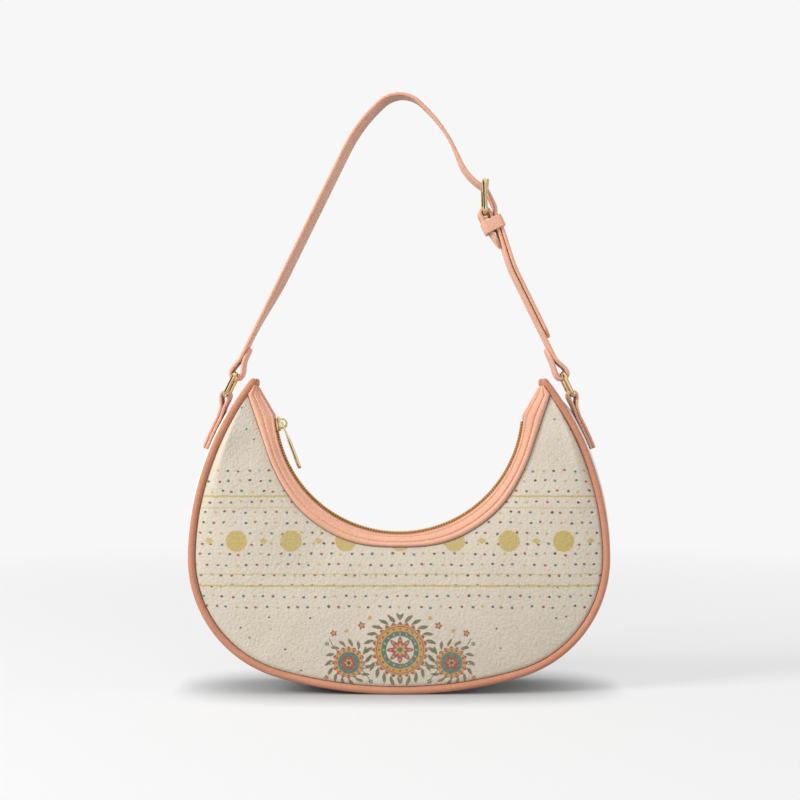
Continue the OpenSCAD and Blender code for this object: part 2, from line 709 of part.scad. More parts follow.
// Round wire bent to a rectangle, with its first bar on the Y axis and the second len above
module wire_frame(len, w, wire_r, corner_r) {
    for (z = [0, len]) translate([0, 0, z]) rotate([90, 0, 0])
        cylinder(r = wire_r, h = w - 2 * corner_r, center = true);
    for (side = [-1, 1]) {
        translate([0, side * w / 2, corner_r]) cylinder(r = wire_r, h = len - 2 * corner_r);
        for (top = [0, 1]) translate([0, side * (w / 2 - corner_r), top ? len - corner_r : corner_r])
            rotate([0, 90, 0]) rotate([0, 0, (top ? 90 : 0) + (side > 0 ? (top ? 0 : 0) : (top ? 90 : -90))])
                rotate_extrude(angle = 90) translate([corner_r, 0]) circle(wire_r);
    }
}
module ring() {
    translate([lower_bar.x, 0, lower_bar.y]) rotate([0, -strand_angle, 0])
        wire_frame(ring_len, ring_w, ring_wire_r, ring_corner_r);
}
module anchor_tab() {
    near = tab_t / 2 + seam_gap;
    far = near + tab_t + fold_gap;
    sewn = [for (i = [0:tab_steps]) tab_end_angle + (tab_leave_angle - tab_end_angle) * i / tab_steps];
    w = tab_loop_r * unit(lower_bar - gusset_top(tab_leave_angle, near));
    n = [w.y, -w.x];
    inner = [for (a = sewn) gusset_top(a, near)];
    outer = [for (a = swap_ends(sewn)) gusset_top(a, far)];
    flat = [for (i = [1:tab_steps]) 0];
    path = rounded(
        concat(inner, [lower_bar - n - w / 2, lower_bar - n + w, lower_bar + n + w,
                       lower_bar + n - w / 2], outer),
        concat(flat, [bend_r, small_r, tab_loop_r, tab_loop_r, small_r, bend_r], flat));
    across(strap_w) ribbon(path, tab_t);
}
// Board behind the gusset that the tab is sewn through
module anchor_patch() {
    top = gusset_in - patch_drop + gusset_inset;
    under = [for (i = [0:tab_steps]) tab_end_angle + i];
    across(2 * patch_half_w) polygon(concat(
        [for (a = under) gusset_top(a, top)], [for (a = swap_ends(under)) gusset_top(a, top - patch_t)]));
}

// Buckle, prong and keeper

module at_heel() {
    heel = strand(heel_at, heel_n);
    translate([heel.x, 0, heel.y]) rotate([0, -strand_angle, 0]) children();
}
module buckle_frame() {
    color(gold_colour) at_heel() rotate([0, buckle_angle, 0])
        wire_frame(buckle_len, buckle_w, buckle_bar_r, ring_corner_r);
}
module buckle_prong() {
    color(gold_colour) at_heel() {
        rotate([90, 0, 0]) difference() {
            cylinder(r = prong_coil_r + prong_coil_t, h = prong_coil_w, center = true);
            cylinder(r = prong_coil_r, h = prong_coil_w + 2 * over, center = true);
        }
        rotate([0, prong_angle, 0]) translate([0, 0, prong_coil_r + prong_r / 2]) {
            cylinder(r = prong_r, h = buckle_len + prong_past - prong_coil_r - prong_r / 2);
            translate([0, 0, buckle_len + prong_past - prong_coil_r - prong_r / 2]) sphere(prong_r);
        }
    }
}
module strap_keeper() {
    inner_low = outer_n - strap_t / 2 - keeper_slack;
    inner_high = main_n + strap_t / 2 + keeper_slack;
    inner_w = strap_w + 2 * run_gap;
    place = strand(keeper_at, 0);
    color(leather_colour) translate([place.x, 0, place.y]) rotate([0, -strand_angle, 0]) difference() {
        translate([inner_low - keeper_t, -inner_w / 2 - keeper_t, 0])
            cube([inner_high - inner_low + 2 * keeper_t, inner_w + 2 * keeper_t, keeper_len]);
        translate([inner_low, -inner_w / 2, -over])
            cube([inner_high - inner_low, inner_w, keeper_len + 2 * over]);
    }
}

// Slip pocket on the back lining: a sheet on a sewn edge, open at the top
pocket_low = 38;
module slip_pocket() {
    color(lining_colour) on_back() translate([-pocket_w / 2, pocket_low, -lining_back - seam_gap / 2]) {
        translate([0, 0, -2 * pocket_t]) cube([pocket_w, pocket_h, pocket_t]);
        translate([0, 0, -pocket_t]) linear_extrude(pocket_t) difference() {
            square([pocket_w, pocket_h]);
            translate([pocket_seam_w, pocket_seam_w]) square([pocket_w - 2 * pocket_seam_w, pocket_h]);
        }
    }
}

color(cream_colour) on_front() panel();  // front_panel
color(cream_colour) on_back() panel();  // back_panel
gusset();
color(leather_colour) on_front() piping();  // front_piping
color(leather_colour) on_back() piping();  // back_piping
color(white_colour) on_front() piping_cord();  // front_piping_cord
color(white_colour) on_back() piping_cord();  // back_piping_cord
color(leather_colour) on_front() mouth_trim();  // front_mouth_trim
color(leather_colour) on_back() mouth_trim();  // back_mouth_trim
color(leather_colour) zip_facing();  // front_zip_facing
color(leather_colour) mirror([0, 1, 0]) zip_facing();  // back_zip_facing
color(leather_colour) mirror([1, 0, 0]) end_cover();  // left_end_cover
color(leather_colour) end_cover();  // right_end_cover
color(cream_colour) zip_tape();  // front_zip_tape
color(cream_colour) mirror([0, 1, 0]) zip_tape();  // back_zip_tape
color(gold_colour) zip_teeth(-1);  // front_zip_teeth
color(gold_colour) zip_teeth(1);  // back_zip_teeth
color(gold_colour) for (m = [0, 1]) mirror([m, 0, 0]) zip_stop();  // zip_stops
zip_slider();
zip_slider_bridge();
zip_pull();
color(board_colour) on_front() backing();  // front_backing
color(board_colour) on_back() backing();  // back_backing
gusset_backing();
color(lining_colour) on_front() lining();  // front_lining
color(lining_colour) on_back() lining();  // back_lining
gusset_lining();
slip_pocket();
color(leather_colour) mirror([1, 0, 0]) anchor_tab();  // left_anchor_tab
color(leather_colour) anchor_tab();  // right_anchor_tab
color(board_colour) mirror([1, 0, 0]) anchor_patch();  // left_anchor_patch
color(board_colour) anchor_patch();  // right_anchor_patch
color(gold_colour) mirror([1, 0, 0]) ring();  // left_ring
color(gold_colour) ring();  // right_ring
shoulder_strap();
buckle_strap();
buckle_frame();
buckle_prong();
strap_keeper();
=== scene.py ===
"""Half moon shoulder bag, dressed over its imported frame.

Sizes are in millimetres, as a maker would measure the bag; every mesh is laid down in metres.
"""

import logging
import math
from dataclasses import dataclass, field
from enum import Enum
from typing import Callable, Iterable, Optional, Sequence, Union

import bmesh
import bpy
from bmesh.types import BMesh, BMVert
from bpy.types import Material, Node, NodeSocket, NodeTree, Object
from mathutils import Matrix, Vector, noise

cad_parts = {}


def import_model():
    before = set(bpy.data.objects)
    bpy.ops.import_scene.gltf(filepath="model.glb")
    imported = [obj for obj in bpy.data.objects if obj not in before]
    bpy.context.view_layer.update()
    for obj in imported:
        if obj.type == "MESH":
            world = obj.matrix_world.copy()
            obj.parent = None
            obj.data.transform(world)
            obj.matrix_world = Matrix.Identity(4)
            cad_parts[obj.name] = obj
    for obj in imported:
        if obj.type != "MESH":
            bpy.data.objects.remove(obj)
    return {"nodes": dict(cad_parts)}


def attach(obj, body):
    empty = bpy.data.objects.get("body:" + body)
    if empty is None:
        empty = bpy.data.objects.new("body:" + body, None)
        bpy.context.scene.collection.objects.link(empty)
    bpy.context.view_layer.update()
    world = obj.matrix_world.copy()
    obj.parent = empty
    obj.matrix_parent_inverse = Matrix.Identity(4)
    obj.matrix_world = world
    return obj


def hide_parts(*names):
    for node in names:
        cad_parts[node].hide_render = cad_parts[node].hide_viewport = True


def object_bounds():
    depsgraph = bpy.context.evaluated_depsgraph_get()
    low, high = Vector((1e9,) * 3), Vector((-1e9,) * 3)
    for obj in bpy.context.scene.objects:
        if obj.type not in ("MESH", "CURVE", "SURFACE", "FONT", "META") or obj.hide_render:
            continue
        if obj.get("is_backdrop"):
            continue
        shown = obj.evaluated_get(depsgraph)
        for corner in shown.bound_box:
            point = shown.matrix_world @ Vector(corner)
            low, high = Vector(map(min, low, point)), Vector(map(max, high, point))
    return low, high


log = logging.getLogger("half_moon_bag")
MM = 0.001
Flat = tuple[float, float]
Spot = tuple[float, float, float]
Colour = tuple[float, float, float, float]
Paint = Union[NodeSocket, tuple]
Y_AXIS = Vector((0.0, 1.0, 0.0))
WHITE = (1.0, 1.0, 1.0, 1.0)


class Named(Enum):
    """A choice that the nodes name in small letters."""

    @property
    def word(self) -> str:
        """The choice's name, as the nodes write it."""
        return self.name.lower()


class Side(Named):
    """The two faces of the bag."""

    FRONT = -1
    BACK = 1


class Hand(Named):
    """The two ends of the bag, as the photograph sees them."""

    LEFT = -1
    RIGHT = 1


# ---- Small reckoning -------------------------------------------------------------------------


def heading(angle: float) -> Flat:
    """Outward normal of a curve that starts level and turns upwards by angle degrees."""
    turn = math.radians(angle)
    return math.sin(turn), -math.cos(turn)


def eased(share: float) -> float:
    """A share from 0 to 1 with soft ends."""
    share = min(1.0, max(0.0, share))
    return share * share * (3.0 - 2.0 * share)


def blended(first: float, second: float, share: float) -> float:
    """The value that lies at a share of the way from the first to the second."""
    return first + (second - first) * share


def tint(red: float, green: float, blue: float) -> Colour:
    """A screen colour from 0 to 255 as the linear colour that a shader takes.

    Args:
        red, green, blue: The colour as it is read off a picture.

    Returns:
        Linear red, green, blue and 1.
    """
    def linear(value: float) -> float:
        """One channel from screen to linear."""
        value /= 255.0
        return value / 12.92 if value <= 0.04045 else ((value + 0.055) / 1.055) ** 2.4

    return linear(red), linear(green), linear(blue), 1.0


def travelled(points: Sequence[Vector]) -> list[float]:
    """How far along a line each of its points lies."""
    lengths = [0.0]
    for before, after in zip(points, points[1:]):
        lengths.append(lengths[-1] + (after - before).length)
    return lengths


def evenly(points: Sequence[Vector], step: float, closed: bool = False) -> list[Vector]:
    """Points at even distances along a line.

    Args:
        points: The line's own points.
        step: The distance wanted, which is adjusted to fit.
        closed: Whether the line runs back to its first point, which isn't repeated.

    Returns:
        The new points, with both ends kept on an open line.
    """
    line = list(points) + ([points[0]] if closed else [])
    lengths = travelled(line)
    count = max(2, round(lengths[-1] / step))
    found, k = [], 0
    for i in range(count + (0 if closed else 1)):
        at = lengths[-1] * i / count
        while k < len(line) - 2 and lengths[k + 1] < at:
            k += 1
        gap = lengths[k + 1] - lengths[k]
        found.append(line[k].lerp(line[k + 1], (at - lengths[k]) / gap if gap > 1e-9 else 0.0))
    return found


def matched(points: Sequence[Vector], count: int) -> list[Vector]:
    """The same line with that many points, at even distances."""
    return evenly(points, travelled(points)[-1] / (count - 1))


def mirrored(points: Sequence[Vector]) -> list[Vector]:
    """A line of the right half carried over to the left, from its far end to its near one."""
    return [Vector((-p.x, p.y)) for p in reversed(points)]


def in_space(point: Vector) -> Vector:
    """A point or direction (x, height) in the bag's middle plane."""
    return Vector((point.x, 0.0, point.y))


def crosswise(line: Sequence[Vector], k: int) -> Vector:
    """Unit direction across a line in the middle plane, at one of its points."""
    return (line[min(len(line) - 1, k + 1)] - line[max(0, k - 1)]).cross(Y_AXIS).normalized()


def tilted(angle: float) -> Vector:
    """Unit direction in the middle plane, angle degrees from upright towards the right."""
    turn = math.radians(angle)
    return Vector((math.sin(turn), 0.0, math.cos(turn)))


def round_ends(points: Sequence[Vector], radius: float, steps: int = 5,
               first: bool = True, last: bool = True) -> tuple[list[Vector], list[float]]:
    """Adds points near the ends of a line, for a section that shrinks there to a round end.

    Args:
        points: The line.
        radius: How far from an end the section starts to shrink.
        steps: New points at each end.
        first: Whether the first end is round.
        last: Whether the last end is round.

    Returns:
        The line's new points, and the share of the section that each keeps.
    """
    lengths = travelled(points)
    total = lengths[-1]
    places = [s for s in lengths if (not first or s > radius) and (not last or s < total - radius)]
    ends = [radius * (1 - math.cos(math.pi / 2 * i / steps)) for i in range(steps + 1)]
    places += (ends if first else []) + ([total - e for e in ends] if last else [])
    found, shares = [], []
    for s in sorted(set(round(p, 6) for p in places)):
        k = max(0, min(len(points) - 2, next((i for i, v in enumerate(lengths) if v > s), len(points)) - 1))
        gap = lengths[k + 1] - lengths[k]
        found.append(points[k].lerp(points[k + 1], (s - lengths[k]) / gap if gap > 1e-9 else 0.0))
        reach = min(s if first else radius, total - s if last else radius, radius)
        shares.append(max(0.002, math.sqrt(max(0.0, 1 - (1 - reach / radius) ** 2))))
    return found, shares


def filleted(points: Sequence[Flat], radii: Sequence[float], fine: float = 8.0) -> list[Vector]:
    """A line in the XZ plane whose corners are replaced by arcs.

    Args:
        points: The line's corners as (x, z).
        radii: The radius of each corner; those of the two ends aren't used.
        fine: Degrees that one step of an arc turns.

    Returns:
        The line's points as (x, 0, z).
    """
    line = [Vector(p) for p in points]
    found = [line[0]]
    for before, at, after, radius in zip(line, line[1:], line[2:], radii[1:]):
        u, w = (before - at).normalized(), (after - at).normalized()
        opening = math.acos(max(-1.0, min(1.0, u.dot(w))))
        if radius == 0 or opening > math.radians(179.5):
            found.append(at)
            continue
        reach = radius / math.tan(opening / 2)
        centre = at + (u + w).normalized() * (radius / math.sin(opening / 2))
        start, stop = at + u * reach - centre, at + w * reach - centre
        sweep = math.atan2(start.x * stop.y - start.y * stop.x, start.dot(stop))
        steps = max(2, math.ceil(abs(math.degrees(sweep)) / fine))
        for i in range(steps + 1):
            a = sweep * i / steps
            found.append(centre + Vector((start.x * math.cos(a) - start.y * math.sin(a),
                                          start.x * math.sin(a) + start.y * math.cos(a))))
    found.append(line[-1])
    return [in_space(p) for i, p in enumerate(found)
            if i == 0 or (p - found[i - 1]).length > 0.01]


def disc_section(radius: float, count: int = 14) -> list[Flat]:
    """A circle of a wire or tube, as points across it."""
    return [(radius * math.cos(2 * math.pi * i / count), radius * math.sin(2 * math.pi * i / count))
            for i in range(count)]


def strap_section(half_t: float, half_w: float, corner: float, crown: float = 0.0) -> list[Flat]:
    """The cut end of a strap, with rounded edges.

    Args:
        half_t: Half of the thickness.
        half_w: Half of the width.
        corner: Radius of the four edges.
        crown: How much thicker the strap is in its middle, on each face.

    Returns:
        Points round the section, as (through the thickness, across the width).
    """
    corner = min(corner, half_t * 0.98, half_w * 0.98)
    found: list[Flat] = []
    for quarter, (a, b) in enumerate(((1, 1), (-1, 1), (-1, -1), (1, -1))):
        for i in range(5):
            turn = math.radians(quarter * 90 + 22.5 * i)
            found.append((a * (half_t - corner) + corner * math.cos(turn),
                          b * (half_w - corner) + corner * math.sin(turn)))
    dense: list[Flat] = []
    for p, q in zip(found, found[1:] + found[:1]):
        dense.append(p)
        if abs(q[1] - p[1]) > half_w:
            for k in range(1, 8):
                across = blended(p[1], q[1], k / 8)
                lift = crown * (1 - (across / half_w) ** 2)
                dense.append((p[0] + math.copysign(lift, p[0]), across))
    return dense


# ---- Mesh making -----------------------------------------------------------------------------


def grid(across: int, along: int, place: Callable[[int, int], Vector],
         wrap_across: bool = False, wrap_along: bool = False,
         seam: Optional[Callable[[int, int], float]] = None) -> BMesh:
    """A net of faces, bent from a flat grid, with its lengths kept as the UV map in metres.

    Args:
        across: Faces across the net.
        along: Faces along it.
        place: Gives the place of the point at (across, along), in millimetres.
        wrap_across: Whether the last point across is the first one again.
        wrap_along: Whether the last point along is the first one again.
        seam: Gives the distance to the nearest seam at each point, in millimetres.

    Returns:
        The net, with doubled points merged.
    """
    bm = bmesh.new()
    uv = bm.loops.layers.uv.new("UVMap")
    bmesh.ops.create_grid(bm, x_segments=across, y_segments=along, size=0.5)
    near = bm.verts.layers.float.new("seam")
    spots = {v: (round((v.co.x + 0.5) * across), round((v.co.y + 0.5) * along)) for v in bm.verts}
    where = {spot: place(spot[0] % across if wrap_across else spot[0],
                         spot[1] % along if wrap_along else spot[1]) for spot in spots.values()}
    mid = across // 4
    rows, columns = [0.0], [0.0]
    for j in range(along):
        rows.append(rows[-1] + (where[mid, j + 1] - where[mid, j]).length)
    for i in range(across):
        columns.append(columns[-1] + (where[i + 1, along // 2] - where[i, along // 2]).length)
    for vert, (i, j) in spots.items():
        vert.co = where[i, j] * MM
        vert[near] = seam(i, j) if seam else 10.0
    for face in bm.faces:
        for loop in face.loops:
            i, j = spots[loop.vert]
            loop[uv].uv = (columns[i] * MM, rows[j] * MM)
    bmesh.ops.remove_doubles(bm, verts=bm.verts, dist=2e-7)
    bmesh.ops.recalc_face_normals(bm, faces=bm.faces)
    return bm


def faced(bm: BMesh, outward: Callable[[Vector], Vector]) -> BMesh:
    """Turns an open sheet so that its faces point outwards.

    Args:
        bm: The sheet.
        outward: Gives the outward direction at a point in metres.

    Returns:
        The same sheet.
    """
    if sum(f.normal.dot(outward(f.calc_center_median())) * f.calc_area() for f in bm.faces) < 0:
        bmesh.ops.reverse_faces(bm, faces=bm.faces)
    return bm


def capped(bm: BMesh) -> BMesh:
    """Fills the open ends of a body and turns its faces outwards."""
    bmesh.ops.holes_fill(bm, edges=[e for e in bm.edges if e.is_boundary], sides=0)
    bmesh.ops.recalc_face_normals(bm, faces=bm.faces)
    return bm


def ringed(rings: Sequence[Sequence[Vector]]) -> BMesh:
    """A closed body through rings of points, one after the other."""
    return capped(grid(len(rings[0]), len(rings) - 1, lambda i, j: rings[j][i], True))


def swept(points: Sequence[Vector], flat: Vector, section: Callable[[int], Sequence[Flat]],
          closed: bool = False) -> BMesh:
    """A section carried along a line that lies in one plane.

    Args:
        points: The line, in millimetres.
        flat: Unit normal of the line's plane.
        section: Gives the section at each point, as (sideways, along the plane's normal).
        closed: Whether the line runs back to its first point.

    Returns:
        The closed body, in metres.
    """
    count = len(points)
    rings = []
    for k, point in enumerate(points):
        before = points[(k - 1) % count] if closed or k else points[0]
        after = points[(k + 1) % count] if closed or k < count - 1 else points[-1]
        aside = (after - before).cross(flat).normalized()
        rings.append([point + aside * a + flat * b for a, b in section(k)])
    if closed:
        return grid(len(rings[0]), count, lambda i, j: rings[j][i], True, True)
    return ringed(rings)


def in_millimetres(bm: BMesh) -> BMesh:
    """A swept body taken back from metres, to be joined with others."""
    bmesh.ops.scale(bm, vec=(1 / MM,) * 3, verts=bm.verts)
    return bm


def bevelled_block(size: Sequence[float], bevel: float, segments: int = 2) -> BMesh:
    """A block about the origin with bevelled edges, in millimetres."""
    bm = bmesh.new()
    bmesh.ops.create_cube(bm, size=1.0)
    bmesh.ops.scale(bm, vec=Vector(size), verts=bm.verts)
    bmesh.ops.bevel(bm, geom=bm.edges[:], offset=bevel, segments=segments, affect="EDGES",
                    profile=0.5, material=-1)
    return bm


def plate(outline: Sequence[Flat], thick: float, bevel: float,
          holes: Iterable[Sequence[Flat]] = ()) -> BMesh:
    """A flat plate with holes and bevelled rims, its middle plane at z = 0, in millimetres.

    Args:
        outline: The rim as (x, y).
        thick: The plate's thickness.
        bevel: Width of the bevel on both rims.
        holes: Rims of holes.

    Returns:
        The plate.
    """
    bm = bmesh.new()
    for rim in (outline, *holes):
        verts = [bm.verts.new((x, y, -thick / 2)) for x, y in rim]
        for i, vert in enumerate(verts):
            bm.edges.new((vert, verts[(i + 1) % len(verts)]))
    bmesh.ops.triangle_fill(bm, use_beauty=True, edges=bm.edges[:])
    lifted = bmesh.ops.extrude_face_region(bm, geom=bm.faces[:])
    bmesh.ops.translate(bm, vec=(0, 0, thick),
                        verts=[g for g in lifted["geom"] if isinstance(g, BMVert)])
    bmesh.ops.recalc_face_normals(bm, faces=bm.faces)
    rims = [e for e in bm.edges if len(e.link_faces) == 2 and e.calc_face_angle(0) > 1.2
            and abs(abs(e.verts[0].co.z) - thick / 2) < 1e-5
            and abs(e.verts[0].co.z - e.verts[1].co.z) < 1e-5]
    bmesh.ops.bevel(bm, geom=rims, offset=bevel, segments=2, affect="EDGES", profile=0.5, material=-1)
    return bm


def slot_rim(x: float, length: float, half_w: float, steps: int = 6) -> list[Flat]:
    """The rim of a slot with round ends, which starts at x and runs along +X."""
    ends = ((x + length - half_w, -90.0), (x + half_w, 90.0))
    return [(c + half_w * math.cos(math.radians(start + 180 * i / steps)),
             half_w * math.sin(math.radians(start + 180 * i / steps)))
            for c, start in ends for i in range(steps + 1)]


def joined(parts: Iterable[tuple[BMesh, Matrix]]) -> BMesh:
    """Several bodies laid down in one mesh.

    Args:
        parts: Each body in millimetres, with the matrix that puts it in its place.

    Returns:
        One mesh in metres. The parts are used up.
    """
    whole = bmesh.new()
    scratch = bpy.data.meshes.new("scratch")
    used: list[BMesh] = []
    for part, place in parts:
        part.to_mesh(scratch)
        scratch.transform(Matrix.Scale(MM, 4) @ place)
        whole.from_mesh(scratch)
        if part not in used:
            used.append(part)
    for part in used:
        part.free()
    bpy.data.meshes.remove(scratch)
    bmesh.ops.recalc_face_normals(whole, faces=whole.faces)
    return whole


def stood(at: Vector, along: Vector, up: Vector) -> Matrix:
    """The matrix that lays X along a direction and turns Z up, at a point in millimetres."""
    x = along.normalized()
    y = up.cross(x).normalized()
    z = x.cross(y)
    return Matrix((
        (x.x, y.x, z.x, at.x), (x.y, y.y, z.y, at.y), (x.z, y.z, z.z, at.z), (0, 0, 0, 1)))


@dataclass
class Stitching:
    """A row of stitches sewn along a line.

    Fields are the stitch's length, the distance between stitches and the thread's radius.
    """

    length: float = 2.3
    pitch: float = 3.1
    radius: float = 0.27

    def sewn(self, lines: Iterable[tuple[Sequence[Vector], Callable[[Vector], Vector]]]) -> BMesh:
        """Lays stitches along lines.

        Args:
            lines: Each line in millimetres, with what gives the outward direction at a point.

        Returns:
            All the stitches in one mesh, in metres.
        """
        thread = bmesh.new()
        bmesh.ops.create_icosphere(thread, subdivisions=1, radius=1.0)
        bmesh.ops.scale(thread, vec=(self.length / 2, self.radius, self.radius), verts=thread.verts)
        bmesh.ops.smooth_vert(thread, verts=[v for v in thread.verts if abs(v.co.x) > self.length / 3],
                              factor=0.1)
        parts = []
        for line, outward in lines:
            spots = evenly(line, self.pitch / 2)
            for k in range(1, len(spots) - 1, 2):
                along = spots[k + 1] - spots[k - 1]
                parts.append((thread, stood(spots[k], along, outward(spots[k]))))
        return joined(parts)


def laid_down(bm: BMesh, name: str) -> Object:
    """Makes an object of a mesh in metres, which is used up."""
    mesh = bpy.data.meshes.new(name)
    bm.to_mesh(mesh)
    bm.free()
    thing = bpy.data.objects.new(name, mesh)
    bpy.context.scene.collection.objects.link(thing)
    return thing


def published(bm: BMesh, name: str, finish: "Finish", body: str = "bag",
              stands_for: Sequence[str] = (), sharp: float = 45.0) -> Object:
    """Makes a piece of a mesh, dresses it and lets it ride on its body.

    Args:
        bm: The mesh in metres, which is used up.
        name: The piece's name.
        finish: Its finish.
        body: The body that it moves with.
        stands_for: CAD nodes that it replaces.
        sharp: Degrees above which an edge shows as an edge.

    Returns:
        The piece.
    """
    piece = laid_down(bm, name)
    mesh = piece.data
    mesh.shade_smooth()
    mesh.set_sharp_from_angle(angle=math.radians(sharp))
    mesh.materials.append(finish.material())
    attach(piece, body)
    if stands_for:
        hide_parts(*stands_for)
    log.info("%s: %d faces on %s", name, len(mesh.polygons), body)
    return piece


def walled(piece: Object, thick: float, offset: float = -1.0) -> Object:
    """Gives a sheet its thickness in millimetres, inwards from its face."""
    wall = piece.modifiers.new("wall", "SOLIDIFY")
    wall.thickness = thick * MM
    wall.offset = offset
    return piece


def drilled(piece: Object, cutters: Sequence[tuple[BMesh, Matrix]]) -> None:
    """Cuts holes through a piece.

    Args:
        piece: The piece, whose mesh is changed.
        cutters: Bodies in millimetres and their places.
    """
    tool = laid_down(joined(cutters), "cutters")
    mesh = tool.data
    cut = piece.modifiers.new("holes", "BOOLEAN")
    cut.operation, cut.solver, cut.object = "DIFFERENCE", "EXACT", tool
    bpy.context.view_layer.update()
    solid = piece.evaluated_get(bpy.context.evaluated_depsgraph_get())
    done = bpy.data.meshes.new_from_object(solid)
    piece.modifiers.remove(cut)
    bpy.data.objects.remove(tool)
    bpy.data.meshes.remove(mesh)
    if len(done.polygons) < len(piece.data.polygons) // 2:
        log.warning("%s: the holes were left out", piece.name)
        return
    done.name = piece.name
    old = piece.data
    piece.data = done
    bpy.data.meshes.remove(old)


# ---- Finishes --------------------------------------------------------------------------------


def fed(node: Node, feeds: dict) -> Node:
    """Sets a node's inputs.

    Args:
        node: The node.
        feeds: A value, a socket or a field for the name or number of each input.

    Returns:
        The same node.
    """
    for key, value in feeds.items():
        if isinstance(value, Field):
            value = value.socket
        if isinstance(value, NodeSocket):
            node.id_data.links.new(value, node.inputs[key])
        else:
            node.inputs[key].default_value = value
    return node


def made(tree: NodeTree, kind: str, feeds: dict, **settings: object) -> Node:
    """A new shader node of a kind, with its settings and its inputs."""
    node = tree.nodes.new(f"ShaderNode{kind}")
    for name, value in settings.items():
        setattr(node, name, value)
    return fed(node, feeds)


class Field:
    """A value of a node tree that is reckoned with like a number."""

    def __init__(self, tree: NodeTree, socket: NodeSocket) -> None:
        """Keeps the tree and the socket that holds the value."""
        self.tree, self.socket = tree, socket

    def done(self, operation: str, *others: "Field | float", clamp: bool = False) -> "Field":
        """The result of one Math node on this value and others."""
        node = made(self.tree, "Math", dict(enumerate((self, *others))), operation=operation,
                    use_clamp=clamp)
        return Field(self.tree, node.outputs[0])

    def __add__(self, other: "Field | float") -> "Field":
        """The sum."""
        return self.done("ADD", other)

    def __sub__(self, other: "Field | float") -> "Field":
        """The difference."""
        return self.done("SUBTRACT", other)

    def __mul__(self, other: "Field | float") -> "Field":
        """The product."""
        return self.done("MULTIPLY", other)

    def __truediv__(self, other: "Field | float") -> "Field":
        """The quotient."""
        return self.done("DIVIDE", other)

    def __abs__(self) -> "Field":
        """The size without its sign."""
        return self.done("ABSOLUTE")

    def reach(self, other: "Field") -> "Field":
        """The length of the way that goes this far one way and that far across it."""
        return (self * self + other * other).done("SQRT")

    def cell(self, pitch: float) -> "Field":
        """The number of the cell of that pitch that the value lies in, with 0 about the origin."""
        return self.done("MULTIPLY_ADD", 1 / pitch, 0.5).done("FLOOR")

    def within(self, edge: "Field | float", soft: float) -> "Field":
        """1 where the value is below an edge and 0 above it, with a soft step between."""
        return (self - edge).done("MULTIPLY_ADD", -1 / soft, 0.5, clamp=True)

    def span(self, low: float, high: float) -> "Field":
        """The value's share of the way from low to high, held between 0 and 1."""
        return self.done("MULTIPLY_ADD", 1 / (high - low), -low / (high - low), clamp=True)


@dataclass(frozen=True)
class Finish:
    """What one material is, and the slot of the record that it belongs to."""

    name: str
    slot: str
    colour: Colour

    def material(self) -> Material:
        """The finish as a material, which is made once."""
        found = bpy.data.materials.get(self.name)
        if found:
            return found
        paint = bpy.data.materials.new(self.name)
        paint.use_nodes = True
        paint.diffuse_color = self.colour
        self.dress(paint.node_tree, paint.node_tree.nodes["Principled BSDF"])
        return paint

    def dress(self, tree: NodeTree, shader: Node) -> None:
        """Sets up the shader. Each kind of finish has its own way."""
        fed(shader, {"Base Color": self.colour})

    @staticmethod
    def place(tree: NodeTree, kind: str = "Object") -> NodeSocket:
        """Where a point lies: on the object, or on the piece's own UV map."""
        return made(tree, "TexCoord", {}).outputs[kind]

    @staticmethod
    def noisy(tree: NodeTree, where: NodeSocket, scale: float, detail: float = 3.0,
              roughness: float = 0.55) -> Field:
        """A noise about 0.5 at a scale per metre."""
        node = made(tree, "TexNoise", {"Scale": scale, "Detail": detail, "Roughness": roughness,
                                       "Vector": where})
        return Field(tree, node.outputs[0])

    @staticmethod
    def over(tree: NodeTree, below: Paint, above: Paint, share: "Field | float") -> NodeSocket:
        """One colour laid over another where the share is 1."""
        return made(tree, "Mix", {0: share, 6: below, 7: above}, data_type="RGBA").outputs[2]

    @staticmethod
    def raised(shader: Node, height: Field, depth: float, strength: float) -> None:
        """Turns a height from 0 to 1 into relief of a depth in millimetres."""
        bump = made(height.tree, "Bump", {"Strength": strength, "Distance": depth * MM, "Height": height})
        fed(shader, {"Normal": bump.outputs["Normal"]})


